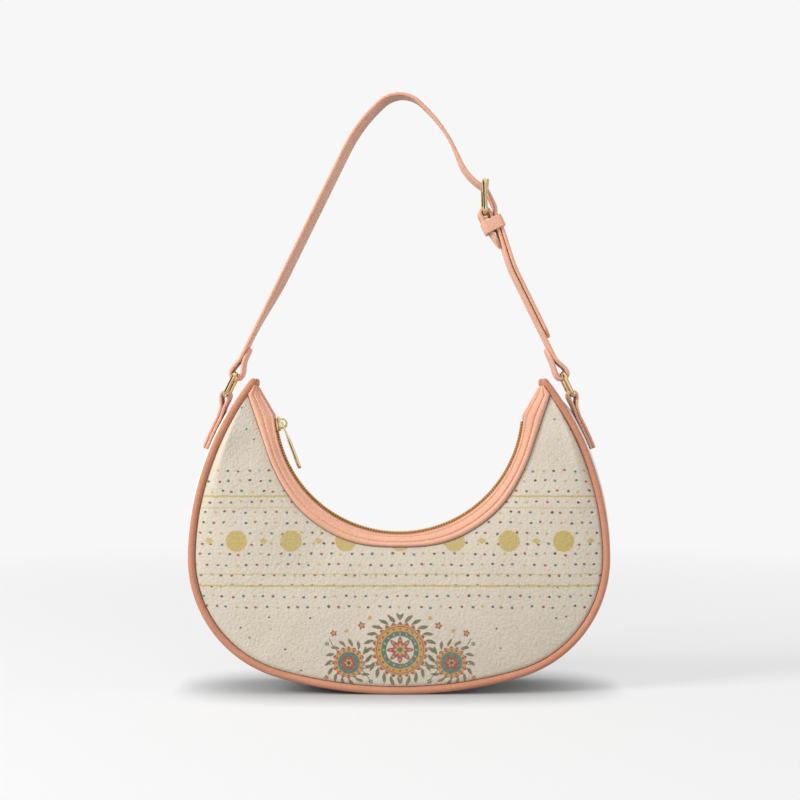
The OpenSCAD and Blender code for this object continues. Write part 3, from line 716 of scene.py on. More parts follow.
@dataclass(frozen=True)
class Leather(Finish):
    """Leather with a pebbled or fine grain.

    Fields are the darker colour that its mottle runs to and its painted seam shadow takes, the grain's
    cell in millimetres, its depth and its stretch, the roughness, how much the colour varies, and the width
    of the painted shadow line along its seams.
    """

    shade: Colour = (0.3, 0.2, 0.15, 1.0)
    cell: float = 2.4
    depth: float = 0.10
    stretch: float = 0.7
    roughness: float = 0.52
    variation: float = 0.25
    seam_shadow_width: float = 0.0

    GRAIN_TURN = (0.3, -0.75, 0.2)
    SEAM_SHADE_INK = tint(86, 84, 70)

    def dress(self, tree: NodeTree, shader: Node) -> None:
        """Grain, mottled colour, a soft sheen and, where a width is given, painted shade along the seams.
        """
        where = self.place(tree)
        lay = made(tree, "Mapping", {"Rotation": self.GRAIN_TURN, "Scale": (1.0, 1.0, 1.0 / self.stretch),
                                     "Vector": where}, vector_type="TEXTURE").outputs[0]
        warp = made(tree, "TexNoise", {"Scale": 900 / self.cell, "Detail": 2.0, "Vector": lay})
        shifted = made(tree, "VectorMath", {0: warp.outputs["Color"], 1: (self.cell * MM * 0.4,) * 3,
                                            2: lay}, operation="MULTIPLY_ADD")
        cells = made(tree, "TexVoronoi", {"Scale": 1000 / self.cell, "Smoothness": 0.35,
                                          "Vector": shifted.outputs[0]}, feature="SMOOTH_F1")
        pebble = Field(tree, cells.outputs["Distance"])
        fine = self.noisy(tree, where, 2600 / self.cell)
        broad = self.noisy(tree, where, 24.0)
        close = self.noisy(tree, where, 420.0, 4.0, 0.6)
        mottle = (broad - 0.5) * 1.4 + (close - 0.5) * 0.9 + (pebble - 0.45) * 0.8
        colour = self.over(tree, self.patterned(tree, where), self.shade,
                           mottle.done("MULTIPLY_ADD", self.variation, self.variation * 0.4, clamp=True))
        # Painted shade along the seams: a dark line where the leather meets the piping and the trim, and a
        # softer painted shadow beside it
        if self.seam_shadow_width > 0:
            near = Field(tree, made(tree, "Attribute", {}, attribute_name="seam").outputs["Fac"])
            dark = near.within(self.seam_shadow_width, self.seam_shadow_width * 0.9)
            colour = self.over(tree, colour, self.SEAM_SHADE_INK, dark * 0.9)
            shadow = near.within(self.seam_shadow_width * 4.0, self.seam_shadow_width * 6.0)
            colour = self.over(tree, colour, self.shade, shadow * 0.22)
        fed(shader, {"Base Color": colour, "Specular IOR Level": 0.35, "Sheen Weight": 0.06,
                     "Roughness": (close - 0.5).done("MULTIPLY_ADD", 0.25, self.roughness),
                     "Sheen Roughness": 0.5})
        self.raised(shader, pebble * -1.0 + fine * 0.45 + 0.8, self.depth * 2.2, 0.9)

    def patterned(self, tree: NodeTree, where: NodeSocket) -> Paint:
        """The colour before mottling: plain on plain leather."""
        return self.colour


class Page:
    """A print in the making: places on the bag in millimetres, and the colour so far."""

    def __init__(self, x: Field, z: Field, colour: Paint) -> None:
        """Keeps the distance across, the height and the ground colour."""
        self.x, self.z, self.colour = x, z, colour

    def lay(self, ink: Paint, share: Field) -> None:
        """Lays an ink over the print where the share is 1."""
        self.colour = Finish.over(share.tree, self.colour, ink, share)

    def polar(self, centre: Flat) -> tuple[Field, Field]:
        """Distance from a centre and the angle about it."""
        dx, dz = self.x - centre[0], self.z - centre[1]
        return dx.reach(dz), dz.done("ARCTAN2", dx)

    def ring(self, centre: Flat, radius: float, count: int) -> tuple[Field, Field]:
        """Distances sideways and outwards from the nearest of count places on a circle."""
        distance, angle = self.polar(centre)
        step = 2 * math.pi / count
        return (angle - angle.cell(step) * step) * radius, distance - radius

    def head(self, centre: Flat, layers: Sequence[tuple]) -> None:
        """A flower head: layers of (radius, petals, depth of the petals, ink), outermost first."""
        distance, angle = self.polar(centre)
        for radius, petals, cut, ink in layers:
            edge: "Field | float" = radius
            if petals:
                wave = (angle * float(petals)).done("COSINE")
                edge = wave.done("MULTIPLY_ADD", radius * cut, radius * (1 - cut))
            self.lay(ink, distance.within(edge, 0.4) * 0.94)

    def beads(self, centre: Flat, radius: float, count: int, size: float, ink: Colour) -> None:
        """A ring of small dots."""
        sideways, outwards = self.ring(centre, radius, count)
        self.lay(ink, sideways.reach(outwards).within(size, 0.4) * 0.9)

    def wreath(self, centre: Flat, radius: float, count: int, leaf: Flat, inks: Sequence[Colour]) -> None:
        """A ring of slanted leaves with a vein, each half as long and half as wide as leaf says."""
        sideways, outwards = self.ring(centre, radius, count)
        sideways += outwards * 0.55
        shape = abs(sideways) / leaf[1] + (outwards * outwards) / (leaf[0] * leaf[0])
        self.lay(inks[0], shape.within(1.0, 0.3) * 0.92)
        self.lay(inks[1], abs(sideways).within(0.14, 0.2) * shape.within(0.9, 0.2) * 0.5)

    def stem(self, centre: Flat, radius: float, ink: Colour) -> None:
        """An arc of thin stem, kept inside the flowered place."""
        line = abs(self.polar(centre)[0] - radius).within(0.3, 0.35)
        self.lay(ink, line * abs(self.z - 30.0).within(21.0, 0.5) * self.x.within(47.0, 0.5) * 0.85)


@dataclass(frozen=True)
class PrintedLeather(Leather):
    """Pebbled leather with a print of stripes, discs, rows of dots and, on the front, flowers."""

    gold: Colour = tint(199, 177, 104)
    red: Colour = tint(156, 66, 68)
    teal: Colour = tint(52, 116, 110)
    brown: Colour = tint(76, 60, 54)
    ochre: Colour = tint(206, 158, 92)
    leaf: Colour = tint(86, 94, 68)
    flowers: bool = True

    # Millimetres: stripes as (height, half width), discs, and the rows of dots
    STRIPES = ((130.8, 0.62), (123.1, 0.26), (79.3, 0.26), (71.6, 0.62))
    DISC_PITCH, DISC_HEIGHT, DISC_R = 36.3, 101.1, 7.05
    ROW_START, ROW_PITCH, DOT_PITCH = 57.7, 6.94, 6.8
    DENSE_HEIGHT, DENSE_HALF = 102.8, 48.4

    def patterned(self, tree: NodeTree, where: NodeSocket) -> Paint:
        """The print, drawn in millimetres across and up the bag."""
        split = made(tree, "SeparateXYZ", {0: where})
        x, z = (Field(tree, split.outputs[k]) * 1000.0 for k in (0, 2))
        page = Page(x + (self.noisy(tree, where, 520.0, 2.0) - 0.5) * 0.9 - 0.7,
                    z + (self.noisy(tree, where, 330.0, 1.0) - 0.5) * 1.1, self.colour)
        self.dotted(tree, page)
        worn = self.noisy(tree, where, 900.0, 2.0).span(0.25, 0.5) * 0.35 + 0.6
        for height, half in self.STRIPES:
            page.lay(self.gold, abs(page.z - height).within(half, 0.35) * worn)
        across = page.x - page.x.cell(self.DISC_PITCH) * self.DISC_PITCH
        up = page.z - self.DISC_HEIGHT
        page.lay(self.gold, across.reach(up).within(self.DISC_R, 0.35) * (worn + 0.05))
        between = abs(abs(across) - self.DISC_PITCH / 2)
        page.lay(self.gold, (between * 0.33 + abs(up - 0.2) * 0.46).within(1.0, 0.25) * worn)
        if self.flowers:
            page.x = abs(page.x)
            self.flowered(page)
        return page.colour

    def dotted(self, tree: NodeTree, page: Page) -> None:
        """Rows of small dots in four inks, dense across the middle and sparse elsewhere."""
        row = (page.z - self.ROW_START).cell(self.ROW_PITCH)
        shift = (row * 2.399).done("SINE") * 3.4
        column = (page.x + shift).cell(self.DOT_PITCH)
        spot = made(tree, "CombineXYZ", {0: column, 1: row})
        chance = made(tree, "TexWhiteNoise", {"Vector": spot.outputs[0]}, noise_dimensions="2D")
        parts = made(tree, "SeparateXYZ", {0: chance.outputs["Color"]})
        dx = (page.x + shift - column * self.DOT_PITCH + (Field(tree, parts.outputs[0]) - 0.5) * 1.7) / 1.02
        dz = (page.z - self.ROW_START - row * self.ROW_PITCH
              + (Field(tree, parts.outputs[1]) - 0.5) * 1.2) / 0.80
        sparse = abs(page.z - self.DENSE_HEIGHT).span(self.DENSE_HALF, self.DENSE_HALF + 0.4)
        kept = (Field(tree, chance.outputs["Value"]) - sparse * 0.88).done("GREATER_THAN", 0.0)
        size = sparse.done("MULTIPLY_ADD", -0.22, 1.0)
        order = (column + row * 2.0).done("FLOORED_MODULO", 4.0)
        ink: Paint = self.gold
        for number, next_ink in enumerate((self.brown, self.red, self.teal), 1):
            ink = self.over(tree, ink, next_ink, order.done("COMPARE", float(number), 0.4))
        page.lay(ink, dx.reach(dz).within(size, 0.42) * kept * 0.95)

    def flowered(self, page: Page) -> None:
        """Three round flower heads in a wreath of leaves, low on the front, alike on both sides."""
        red, ochre, teal, brown = self.red, self.ochre, self.teal, self.brown
        main, side = (0.0, 29.5), (34.0, 21.0)
        page.lay(self.colour,
                 (page.x * 0.92).done("MAXIMUM", abs(page.z - main[1]) * 2.0).within(47.5, 0.5))
        # Stems first, then leaves, then the heads over them
        page.stem((19.5, 49.0), 30.0, self.leaf)
        page.stem((39.0, 0.0), 21.0, self.leaf)
        page.wreath(main, 21.2, 24, (3.4, 1.4), (self.leaf, ochre))
        page.wreath(side, 13.2, 15, (2.8, 1.25), (self.leaf, ochre))
        page.head(main, ((18.6, 24, 0.05, red), (16.7, 0, 0.0, ochre), (15.8, 0, 0.0, brown),
                         (15.4, 0, 0.0, ochre), (12.4, 0, 0.0, teal), (9.2, 0, 0.0, self.colour),
                         (8.8, 8, 0.22, red), (4.4, 8, 0.18, ochre), (1.8, 0, 0.0, teal)))
        page.beads(main, 14.0, 20, 0.75, red)
        page.beads(main, 10.8, 16, 0.7, ochre)
        page.beads(main, 6.4, 8, 0.7, ochre)
        page.head(side, ((10.9, 16, 0.06, red), (9.5, 0, 0.0, ochre), (7.3, 0, 0.0, teal),
                         (5.8, 6, 0.2, red), (2.8, 6, 0.2, ochre), (1.2, 0, 0.0, brown)))
        page.beads(side, 8.4, 16, 0.6, brown)
        for spot, size, ink in (((25.5, 45.5), 2.6, red), ((20.0, 50.5), 1.6, ochre),
                                ((44.0, 40.5), 2.4, red), ((48.5, 33.5), 1.6, teal),
                                ((35.5, 42.0), 1.7, ochre), ((19.5, 8.5), 1.9, teal),
                                ((48.8, 11.0), 1.8, red)):
            page.head(spot, ((size, 5, 0.2, ink), (size * 0.4, 0, 0.0, ochre)))


@dataclass(frozen=True)
class Metal(Finish):
    """Polished plated metal with fine scratches and duller patches."""

    roughness: float = 0.09
    worn: Colour = tint(196, 160, 96)

    def dress(self, tree: NodeTree, shader: Node) -> None:
        """A mirror finish that is a little uneven."""
        where = self.place(tree)
        cloud = self.noisy(tree, where, 260.0, 4.0)
        drawn = made(tree, "Mapping", {"Scale": (1.0, 0.12, 1.0), "Vector": where}).outputs[0]
        lines = self.noisy(tree, drawn, 5200.0, 2.0)
        rough = (cloud - 0.5) * 0.08 + (lines - 0.5) * 0.05 + self.roughness
        colour = self.over(tree, self.colour, self.worn, cloud.span(0.45, 0.8) * 0.45)
        fed(shader, {"Base Color": colour, "Roughness": rough.done("MAXIMUM", 0.04), "Metallic": 1.0})
        self.raised(shader, cloud * 0.8 + lines * 0.2, 0.02, 0.12)


@dataclass(frozen=True)
class Cloth(Finish):
    """Woven cloth or tape; its threads follow the piece's own UV map."""

    thread: float = 0.45
    dark: Colour = tint(150, 120, 96)
    roughness: float = 0.8

    def dress(self, tree: NodeTree, shader: Node) -> None:
        """A plain weave with uneven threads."""
        split = made(tree, "SeparateXYZ", {0: self.place(tree, "UV")})
        turn = math.pi / (self.thread * MM)
        warp, weft = ((Field(tree, split.outputs[k]) * turn).done("SINE") for k in (0, 1))
        weave = (warp * weft).done("MULTIPLY_ADD", 0.5, 0.5)
        slub = self.noisy(tree, self.place(tree), 180.0, 4.0)
        share = (weave * 0.45 + (slub - 0.5) * 0.5).done("ADD", 0.05, clamp=True)
        fed(shader, {"Base Color": self.over(tree, self.colour, self.dark, share), "Sheen Weight": 0.25,
                     "Roughness": slub.done("MULTIPLY_ADD", 0.2, self.roughness - 0.1)})
        self.raised(shader, weave * -1.0 + slub * 0.3, 0.08, 0.8)


@dataclass(frozen=True)
class Board(Finish):
    """Pressed fibre board, felt or cord that stays inside."""

    fibre: Colour = tint(150, 126, 96)
    grain: float = 900.0

    def dress(self, tree: NodeTree, shader: Node) -> None:
        """Short fibres, matt."""
        where = self.place(tree)
        fibres = self.noisy(tree, where, self.grain, 5.0, 0.7)
        cloud = self.noisy(tree, where, 60.0, 2.0)
        share = (fibres.span(0.4, 0.7) * 0.5 + cloud * 0.25).done("ADD", 0.0, clamp=True)
        fed(shader, {"Base Color": self.over(tree, self.colour, self.fibre, share),
                     "Roughness": fibres.done("MULTIPLY_ADD", 0.2, 0.75)})
        self.raised(shader, fibres, 0.1, 0.6)


SALMON = tint(242, 188, 160)
SALMON_DEEP = tint(204, 136, 104)
CREAM = tint(222, 211, 194)
CREAM_GRAIN = {"shade": tint(184, 168, 146), "cell": 1.5, "seam_shadow_width": 0.5, "depth": 0.15,
               "variation": 0.34}
PRINTED = PrintedLeather("printed_cream_leather", "cream_leather", CREAM, **CREAM_GRAIN)
PRINTED_BACK = PrintedLeather("printed_cream_leather_back", "cream_leather", CREAM, **CREAM_GRAIN,
                              flowers=False)
TRIM = Leather("salmon_trim_leather", "strap_leather", SALMON, shade=SALMON_DEEP, cell=1.1,
               depth=0.05, roughness=0.46, variation=0.42)
# Painted shade: the piping's leather is the trim's salmon made darker and deeper, standing in for the shade
# on its underside
SHADED_PIPE = Leather("salmon_piping_leather_painted_shade", "strap_leather", tint(209, 147, 118), shade=tint(172, 105, 75),
               cell=1.1, depth=0.05, roughness=0.44, variation=0.45)
STRAP = Leather("salmon_strap_leather", "strap_leather", SALMON, shade=SALMON_DEEP, cell=1.3,
                depth=0.06, roughness=0.48, variation=0.5)
GUSSET = Leather("pale_gusset_leather", "gusset_leather", tint(240, 242, 244), shade=tint(204, 209, 214),
                 cell=1.8, depth=0.06, roughness=0.5, variation=0.3)
THREAD = Cloth("sewing_thread", "strap_leather", tint(222, 160, 128), thread=0.3,
               dark=tint(180, 118, 88), roughness=0.7)
CREAM_THREAD = Cloth("cream_sewing_thread", "lining_cloth", tint(214, 202, 182), thread=0.3,
                     dark=tint(170, 154, 132), roughness=0.7)
GOLD = Metal("polished_gold", "gold_metal", tint(240, 220, 168))
TEETH = Metal("zip_gold", "gold_metal", tint(232, 206, 146), roughness=0.22, worn=tint(160, 120, 62))
TAPE = Cloth("zip_tape_weave", "zip_tape", tint(214, 150, 118), thread=0.5, dark=tint(164, 104, 76))
LINING = Cloth("lining_weave", "lining_cloth", tint(206, 192, 170), thread=0.4, dark=tint(168, 152, 130))
BOARD = Board("fibre_board", "backing_board", tint(196, 172, 138))
CORD = Board("piping_core", "piping_cord", tint(226, 222, 212), fibre=tint(196, 190, 176), grain=1600.0)


# ---- The bag's own curves --------------------------------------------------------------------


@dataclass
class Outline:
    """The crescent's outline, its lean and its depth, as the frame has them."""

    bottom_r: float = 293.4
    corner_r: float = 80.8
    side_r: float = 193.8
    bottom_angle: float = 15.8
    corner_angle: float = 90.8
    tip_angle: float = 127.7
    pipe_r: float = 2.5
    flat_cut: float = 0.4
    base_half_depth: float = 30.0
    tip_half_depth: float = 14.0
    tip_height: float = 208.0
    gusset_bow: float = 5.0
    bow_start: float = 40.0
    bow_run: float = 65.0
    bow_end: float = 119.0
    lean: float = field(init=False)
    centres: tuple[Flat, Flat, Flat] = field(init=False)

    def __post_init__(self) -> None:
        """Works out the lean and the centres of the three curves."""
        self.lean = math.atan((self.base_half_depth - self.tip_half_depth) / self.tip_height)
        bottom = (0.0, self.pipe_r - self.flat_cut + self.bottom_r)
        h = heading(self.bottom_angle)
        corner = (bottom[0] + (self.bottom_r - self.corner_r) * h[0],
                  bottom[1] + (self.bottom_r - self.corner_r) * h[1])
        h = heading(self.corner_angle)
        side = (corner[0] + (self.corner_r - self.side_r) * h[0],
                corner[1] + (self.corner_r - self.side_r) * h[1])
        self.centres = (bottom, corner, side)

    def edge(self, angle: float, out: float) -> Flat:
        """A point of the outline in the leaning plane, out beyond the piping's centre."""
        turn = abs(angle)
        k = 0 if turn <= self.bottom_angle else 1 if turn <= self.corner_angle else 2
        radius = (self.bottom_r, self.corner_r, self.side_r)[k] + out
        h = heading(turn)
        x = self.centres[k][0] + radius * h[0]
        return math.copysign(x, angle) if angle else x, self.centres[k][1] + radius * h[1]

    def angles(self, limit: float, step: float) -> list[float]:
        """Outline angles from -limit to limit, at even distances along it."""
        fine = [limit * i / 900 for i in range(901)]
        lengths = travelled([Vector(self.edge(a, 0.0)) for a in fine])
        count = max(2, round(lengths[-1] / step))
        right, k = [], 0
        for i in range(1, count + 1):
            at = lengths[-1] * i / count
            while k < 899 and lengths[k + 1] < at:
                k += 1
            right.append(blended(fine[k], fine[k + 1], (at - lengths[k]) / (lengths[k + 1] - lengths[k])))
        return [-a for a in reversed(right)] + [0.0] + right

    def upright(self, point: Flat) -> Flat:
        """A point of the leaning plane as (x, height)."""
        return point[0], point[1] * math.cos(self.lean)

    def leaning(self, points: Iterable[Vector]) -> list[Vector]:
        """Points given as (x, height), as they lie in the leaning plane."""
        return [Vector((p.x, p.y / math.cos(self.lean))) for p in points]

    def half_depth(self, height: float, inset: float) -> float:
        """Half of the distance between the leaning planes, less an inset on each."""
        return self.base_half_depth - height * math.tan(self.lean) - inset / math.cos(self.lean)

    def on_face(self, x: float, up: float, out: float, side: Side) -> Vector:
        """A point of the front or back: across, up the leaning plane and out of it."""
        y = self.base_half_depth - up * math.sin(self.lean) + out * math.cos(self.lean)
        return Vector((x, side.value * y, up * math.cos(self.lean) + out * math.sin(self.lean)))

    def normal(self, side: Side) -> Vector:
        """Outward unit normal of the front or back."""
        return Vector((0.0, side.value * math.cos(self.lean), math.sin(self.lean)))

    def bow(self, angle: float) -> float:
        """How far the gusset bows outwards at an outline angle."""
        turn = abs(angle)
        fade = eased((self.tip_angle - turn) / (self.tip_angle - self.bow_end))
        return self.gusset_bow * eased((turn - self.bow_start) / self.bow_run) * fade

    def gusset_point(self, angle: float, share: float, out: float, inset: float) -> Vector:
        """A point of the gusset at a share of the half depth, out beyond the piping's centre."""
        flat = self.upright(self.edge(angle, self.bow(angle) * (1 - abs(share) ** 4) + out))
        depth = self.half_depth(self.upright(self.edge(angle, 0.0))[1], inset)
        return Vector((flat[0], share * depth, flat[1]))

    def gusset_top(self, angle: float, out: float) -> Flat:
        """The middle of the gusset's outer face as (x, height), out beyond it."""
        return self.upright(self.edge(angle, self.bow(angle) - 0.2 + out))


@dataclass
class Mouth:
    """The hollow top edge and the lower edge of its trim, both as (x, height)."""

    mouth_z: float = 188.9
    mouth_r: float = 84.2
    mouth_angle: float = 87.0
    tip: Flat = (95.2, 203.6)
    trim_z: float = 189.3
    trim_r: float = 93.2
    trim_angle: float = 71.0
    haunch: float = 1.7
    belly: float = 0.7

    def arc(self, angle: float, out: float) -> Flat:
        """A point of the mouth's arc, out beyond it."""
        h = heading(angle)
        return (self.mouth_r + out) * h[0], self.mouth_z + (self.mouth_r + out) * h[1]

    def line_out(self) -> tuple[Vector, Vector]:
        """Direction of the straight end of the mouth, and its outward normal."""
        line = (Vector(self.tip) - Vector(self.arc(self.mouth_angle, 0.0))).normalized()
        return line, Vector((line.y, -line.x))

    def corner(self, out: float) -> Vector:
        """Where the offset arc meets the offset straight end."""
        line, outward = self.line_out()
        p = Vector(self.arc(self.mouth_angle, 0.0)) + out * outward
        f = p - Vector((0.0, self.mouth_z))
        b = f.dot(line)
        root = math.sqrt(max(0.0, b * b - (f.dot(f) - (self.mouth_r + out) ** 2)))
        return p + (-b + (root if b > 0 else -root)) * line

    def line(self, out: float) -> list[Vector]:
        """The mouth from its left tip to its right one, out beyond it."""
        k = self.corner(out)
        last = math.degrees(math.atan2(k.x, self.mouth_z - k.y))
        right = [Vector(self.arc(last * i / 60, out)) for i in range(1, 61)]
        right.append(Vector(self.tip) + out * self.line_out()[1])
        return mirrored(right) + [Vector(self.arc(0.0, out))] + right

    def trim_height(self, x: float, out: float) -> float:
        """Height of the trim's lower edge at a distance from the middle, out beyond it."""
        off = abs(x)
        out += self.haunch * eased(off / 45) * eased((86 - off) / 22) - self.belly * eased(1 - off / 30)
        radius = self.trim_r + out
        h = heading(self.trim_angle)
        turn = off - radius * h[0]
        if turn <= 0:
            return self.trim_z - math.sqrt(radius * radius - x * x)
        return self.trim_z + radius * h[1] + turn * math.tan(math.radians(self.trim_angle))

    def trim_line(self, out: float, reach: float) -> list[Vector]:
        """The trim's lower edge from the left to the right, as far out as reach."""
        radius = self.trim_r + out
        turn = radius * heading(self.trim_angle)[0]
        right = [radius * heading(self.trim_angle * i / 60)[0] for i in range(1, 61)]
        right = [x for x in right if x < reach - 0.01]
        if reach > turn:
            right += [blended(turn, reach, i / 20) for i in range(1, 21)]
        else:
            right.append(reach)
        xs = [-x for x in reversed(right)] + [0.0] + right
        return [Vector((x, self.trim_height(x, out))) for x in xs]

    def meets(self, outline: Outline, inset: float, out: float) -> float:
        """The outline angle at which the inset outline meets the trim's lower edge."""
        low, high = outline.corner_angle, outline.tip_angle
        for _ in range(40):
            mid = (low + high) / 2
            x, up = outline.edge(mid, -inset)
            if up * math.cos(outline.lean) < self.trim_height(x, out):
                low = mid
            else:
                high = mid
        return low


@dataclass
class Strand:
    """The strap's straight strands: places up a strand from its ring, and out from its line."""

    angle: float = 26.2
    anchor: Flat = (117.9, 198.3)
    ring_len: float = 16.2

    def up(self) -> Vector:
        """Direction up the right strand."""
        turn = math.radians(self.angle)
        return Vector((-math.sin(turn), math.cos(turn)))

    def out(self) -> Vector:
        """Direction out of the right strand."""
        turn = math.radians(self.angle)
        return Vector((math.cos(turn), math.sin(turn)))

    def upper_bar(self) -> Vector:
        """Centre of the right ring's upper bar."""
        return Vector(self.anchor) + self.ring_len * self.up()

    def at(self, up: float, out: float) -> Vector:
        """A place on the right strand, as (x, height)."""
        return self.upper_bar() + up * self.up() + out * self.out()


# ---- Sub-assemblies --------------------------------------------------------------------------


@dataclass
class Shell:
    """The printed front and back, their piping, and the gusset between them."""

    outline: Outline
    mouth: Mouth
    tuck: float = 1.9
    under_trim: float = -0.9
    crown: float = 4.2
    horn: float = 5.6
    leather_t: float = 1.6
    hook_r: float = 2.6
    hook_turn: float = 48.0

    def crescent(self, inset: float, trim_out: float, step: float) -> tuple[list[Vector], list[Vector]]:
        """The lower and upper edges of a crescent sheet in the leaning plane, point for point."""
        low = self.mouth.meets(self.outline, inset, trim_out)
        tip_x = self.outline.edge(low, -inset)[0]
        lower = [Vector(self.outline.edge(a, -inset)) for a in self.outline.angles(low, step)]
        upper = self.outline.leaning(self.mouth.trim_line(trim_out, tip_x))
        return lower, matched(upper, len(lower))

    def panel(self, side: Side, finish: Finish) -> Object:
        """A face of the bag: leather drawn over its board, under the trim and against the piping."""
        lower, upper = self.crescent(self.tuck, self.under_trim, 2.2)
        near = [0.0, 0.35, 0.6, 0.85, 1.1, 1.5, 2.1, 3.0, 4.2, 6.0]
        middle = 26
        across = 2 * len(near) + middle - 1

        def spot(i: int, j: int) -> tuple[Vector, float, float]:
            """A point of the net in the plane, its distance from the piping and the width there."""
            a, b = lower[j], upper[j]
            width = (b - a).length
            scale = min(1.0, width / 16.0)
            if i < len(near):
                at = near[i] * scale
            elif i > across - len(near):
                at = width - near[across - i] * scale
            else:
                edge = near[-1] * scale
                at = blended(edge, width - edge, (i - len(near) + 1) / (middle + 1))
            return a.lerp(b, at / width if width > 1e-6 else 0.0), at, width

        def place(i: int, j: int) -> Vector:
            """The point with the leather's puff, its lean at the tips and its slackness."""
            point, at, width = spot(i, j)
            from_trim = width - at
            share = at / width if width > 1e-6 else 0.0
            puff = self.crown * (4 * share * (1 - share)) ** 0.7 * min(1.0, width / 60.0)
            lean = self.horn * eased(share / 0.26) * (1 - share)
            puff = blended(puff, lean * min(1.0, width / 30.0), eased((point.y - 112) / 55))
            soft = eased(at / 9) * eased(from_trim / 9)
            slack = 0.55 * soft * noise.noise(Vector((point.x / 38, point.y / 30, 3.1 * side.value)))
            slack += 0.22 * soft * noise.noise(Vector((point.x / 13, point.y / 15, 7.7 * side.value)))
            rim = blended(-0.35, 0.6, eased(at / 2.6)) - 0.25 * (1 - eased(from_trim / 2.0))
            return self.outline.on_face(point.x, point.y, rim + puff + slack, side)

        def seam(i: int, j: int) -> float:
            """Distance to the nearer seam."""
            _, at, width = spot(i, j)
            return max(0.0, min(at - 0.6, width - at + self.under_trim + 0.05))

        bm = faced(grid(across, len(lower) - 1, place, seam=seam), lambda _: self.outline.normal(side))
        return walled(published(bm, f"{side.word}_face", finish, stands_for=[f"{side.word}_panel"]),
                      self.leather_t)

    def piping(self, side: Side) -> Object:
        """Piping round a face, with round ends and a flattened bottom."""
        flat = [Vector(self.outline.edge(a, 0.0)) for a in self.outline.angles(self.outline.tip_angle, 1.5)]
        hook, turn, step, at = [], self.outline.tip_angle, 12, flat[-1].copy()
        while turn < self.outline.tip_angle + self.hook_turn:
            way = math.radians(turn + step / 2)
            at += self.hook_r * math.radians(step) * Vector((math.cos(way), math.sin(way)))
            hook.append(at.copy())
            turn += step
        flat = mirrored(hook) + flat + hook
        points, shares = round_ends([self.outline.on_face(p.x, p.y, 0.0, side) for p in flat], 2.4)

        def section(k: int) -> list[Flat]:
            """The tube, a little uneven."""
            p = points[k]
            pinch = 1 + 0.02 * noise.noise(p / 5.0) + 0.012 * noise.noise(p / 1.7)
            return disc_section(self.outline.pipe_r * shares[k] * pinch, 16)

        bm = swept(points, self.outline.normal(side), section)
        for vert in bm.verts:
            vert.co.z = max(vert.co.z, 0.0)
        return published(bm, f"{side.word}_piping_tube", SHADED_PIPE, stands_for=[f"{side.word}_piping"])

    def gusset(self) -> Object:
        """The side and base strip between the pipings."""
        angles = self.outline.angles(126.6, 2.4)
        across = 26

        def place(i: int, j: int) -> Vector:
            """A point of the strip, bowed and a little slack."""
            share = 2 * i / across - 1
            slack = 0.5 * (1 - share ** 4) * noise.noise(Vector((angles[j] / 9, share * 1.3, 5.0)))
            return self.outline.gusset_point(angles[j], share, -0.2 + min(0.3, slack), 1.6)

        bm = faced(grid(across, len(angles) - 1, place), lambda p: Vector((p.x, 0.0, p.z - 0.15)))
        return walled(published(bm, "gusset_strip", GUSSET, stands_for=["gusset"]), self.leather_t)

    def build(self) -> None:
        """Builds and dresses the shell."""
        self.panel(Side.FRONT, PRINTED)
        self.panel(Side.BACK, PRINTED_BACK)
        for side in Side:
            self.piping(side)
        self.gusset()


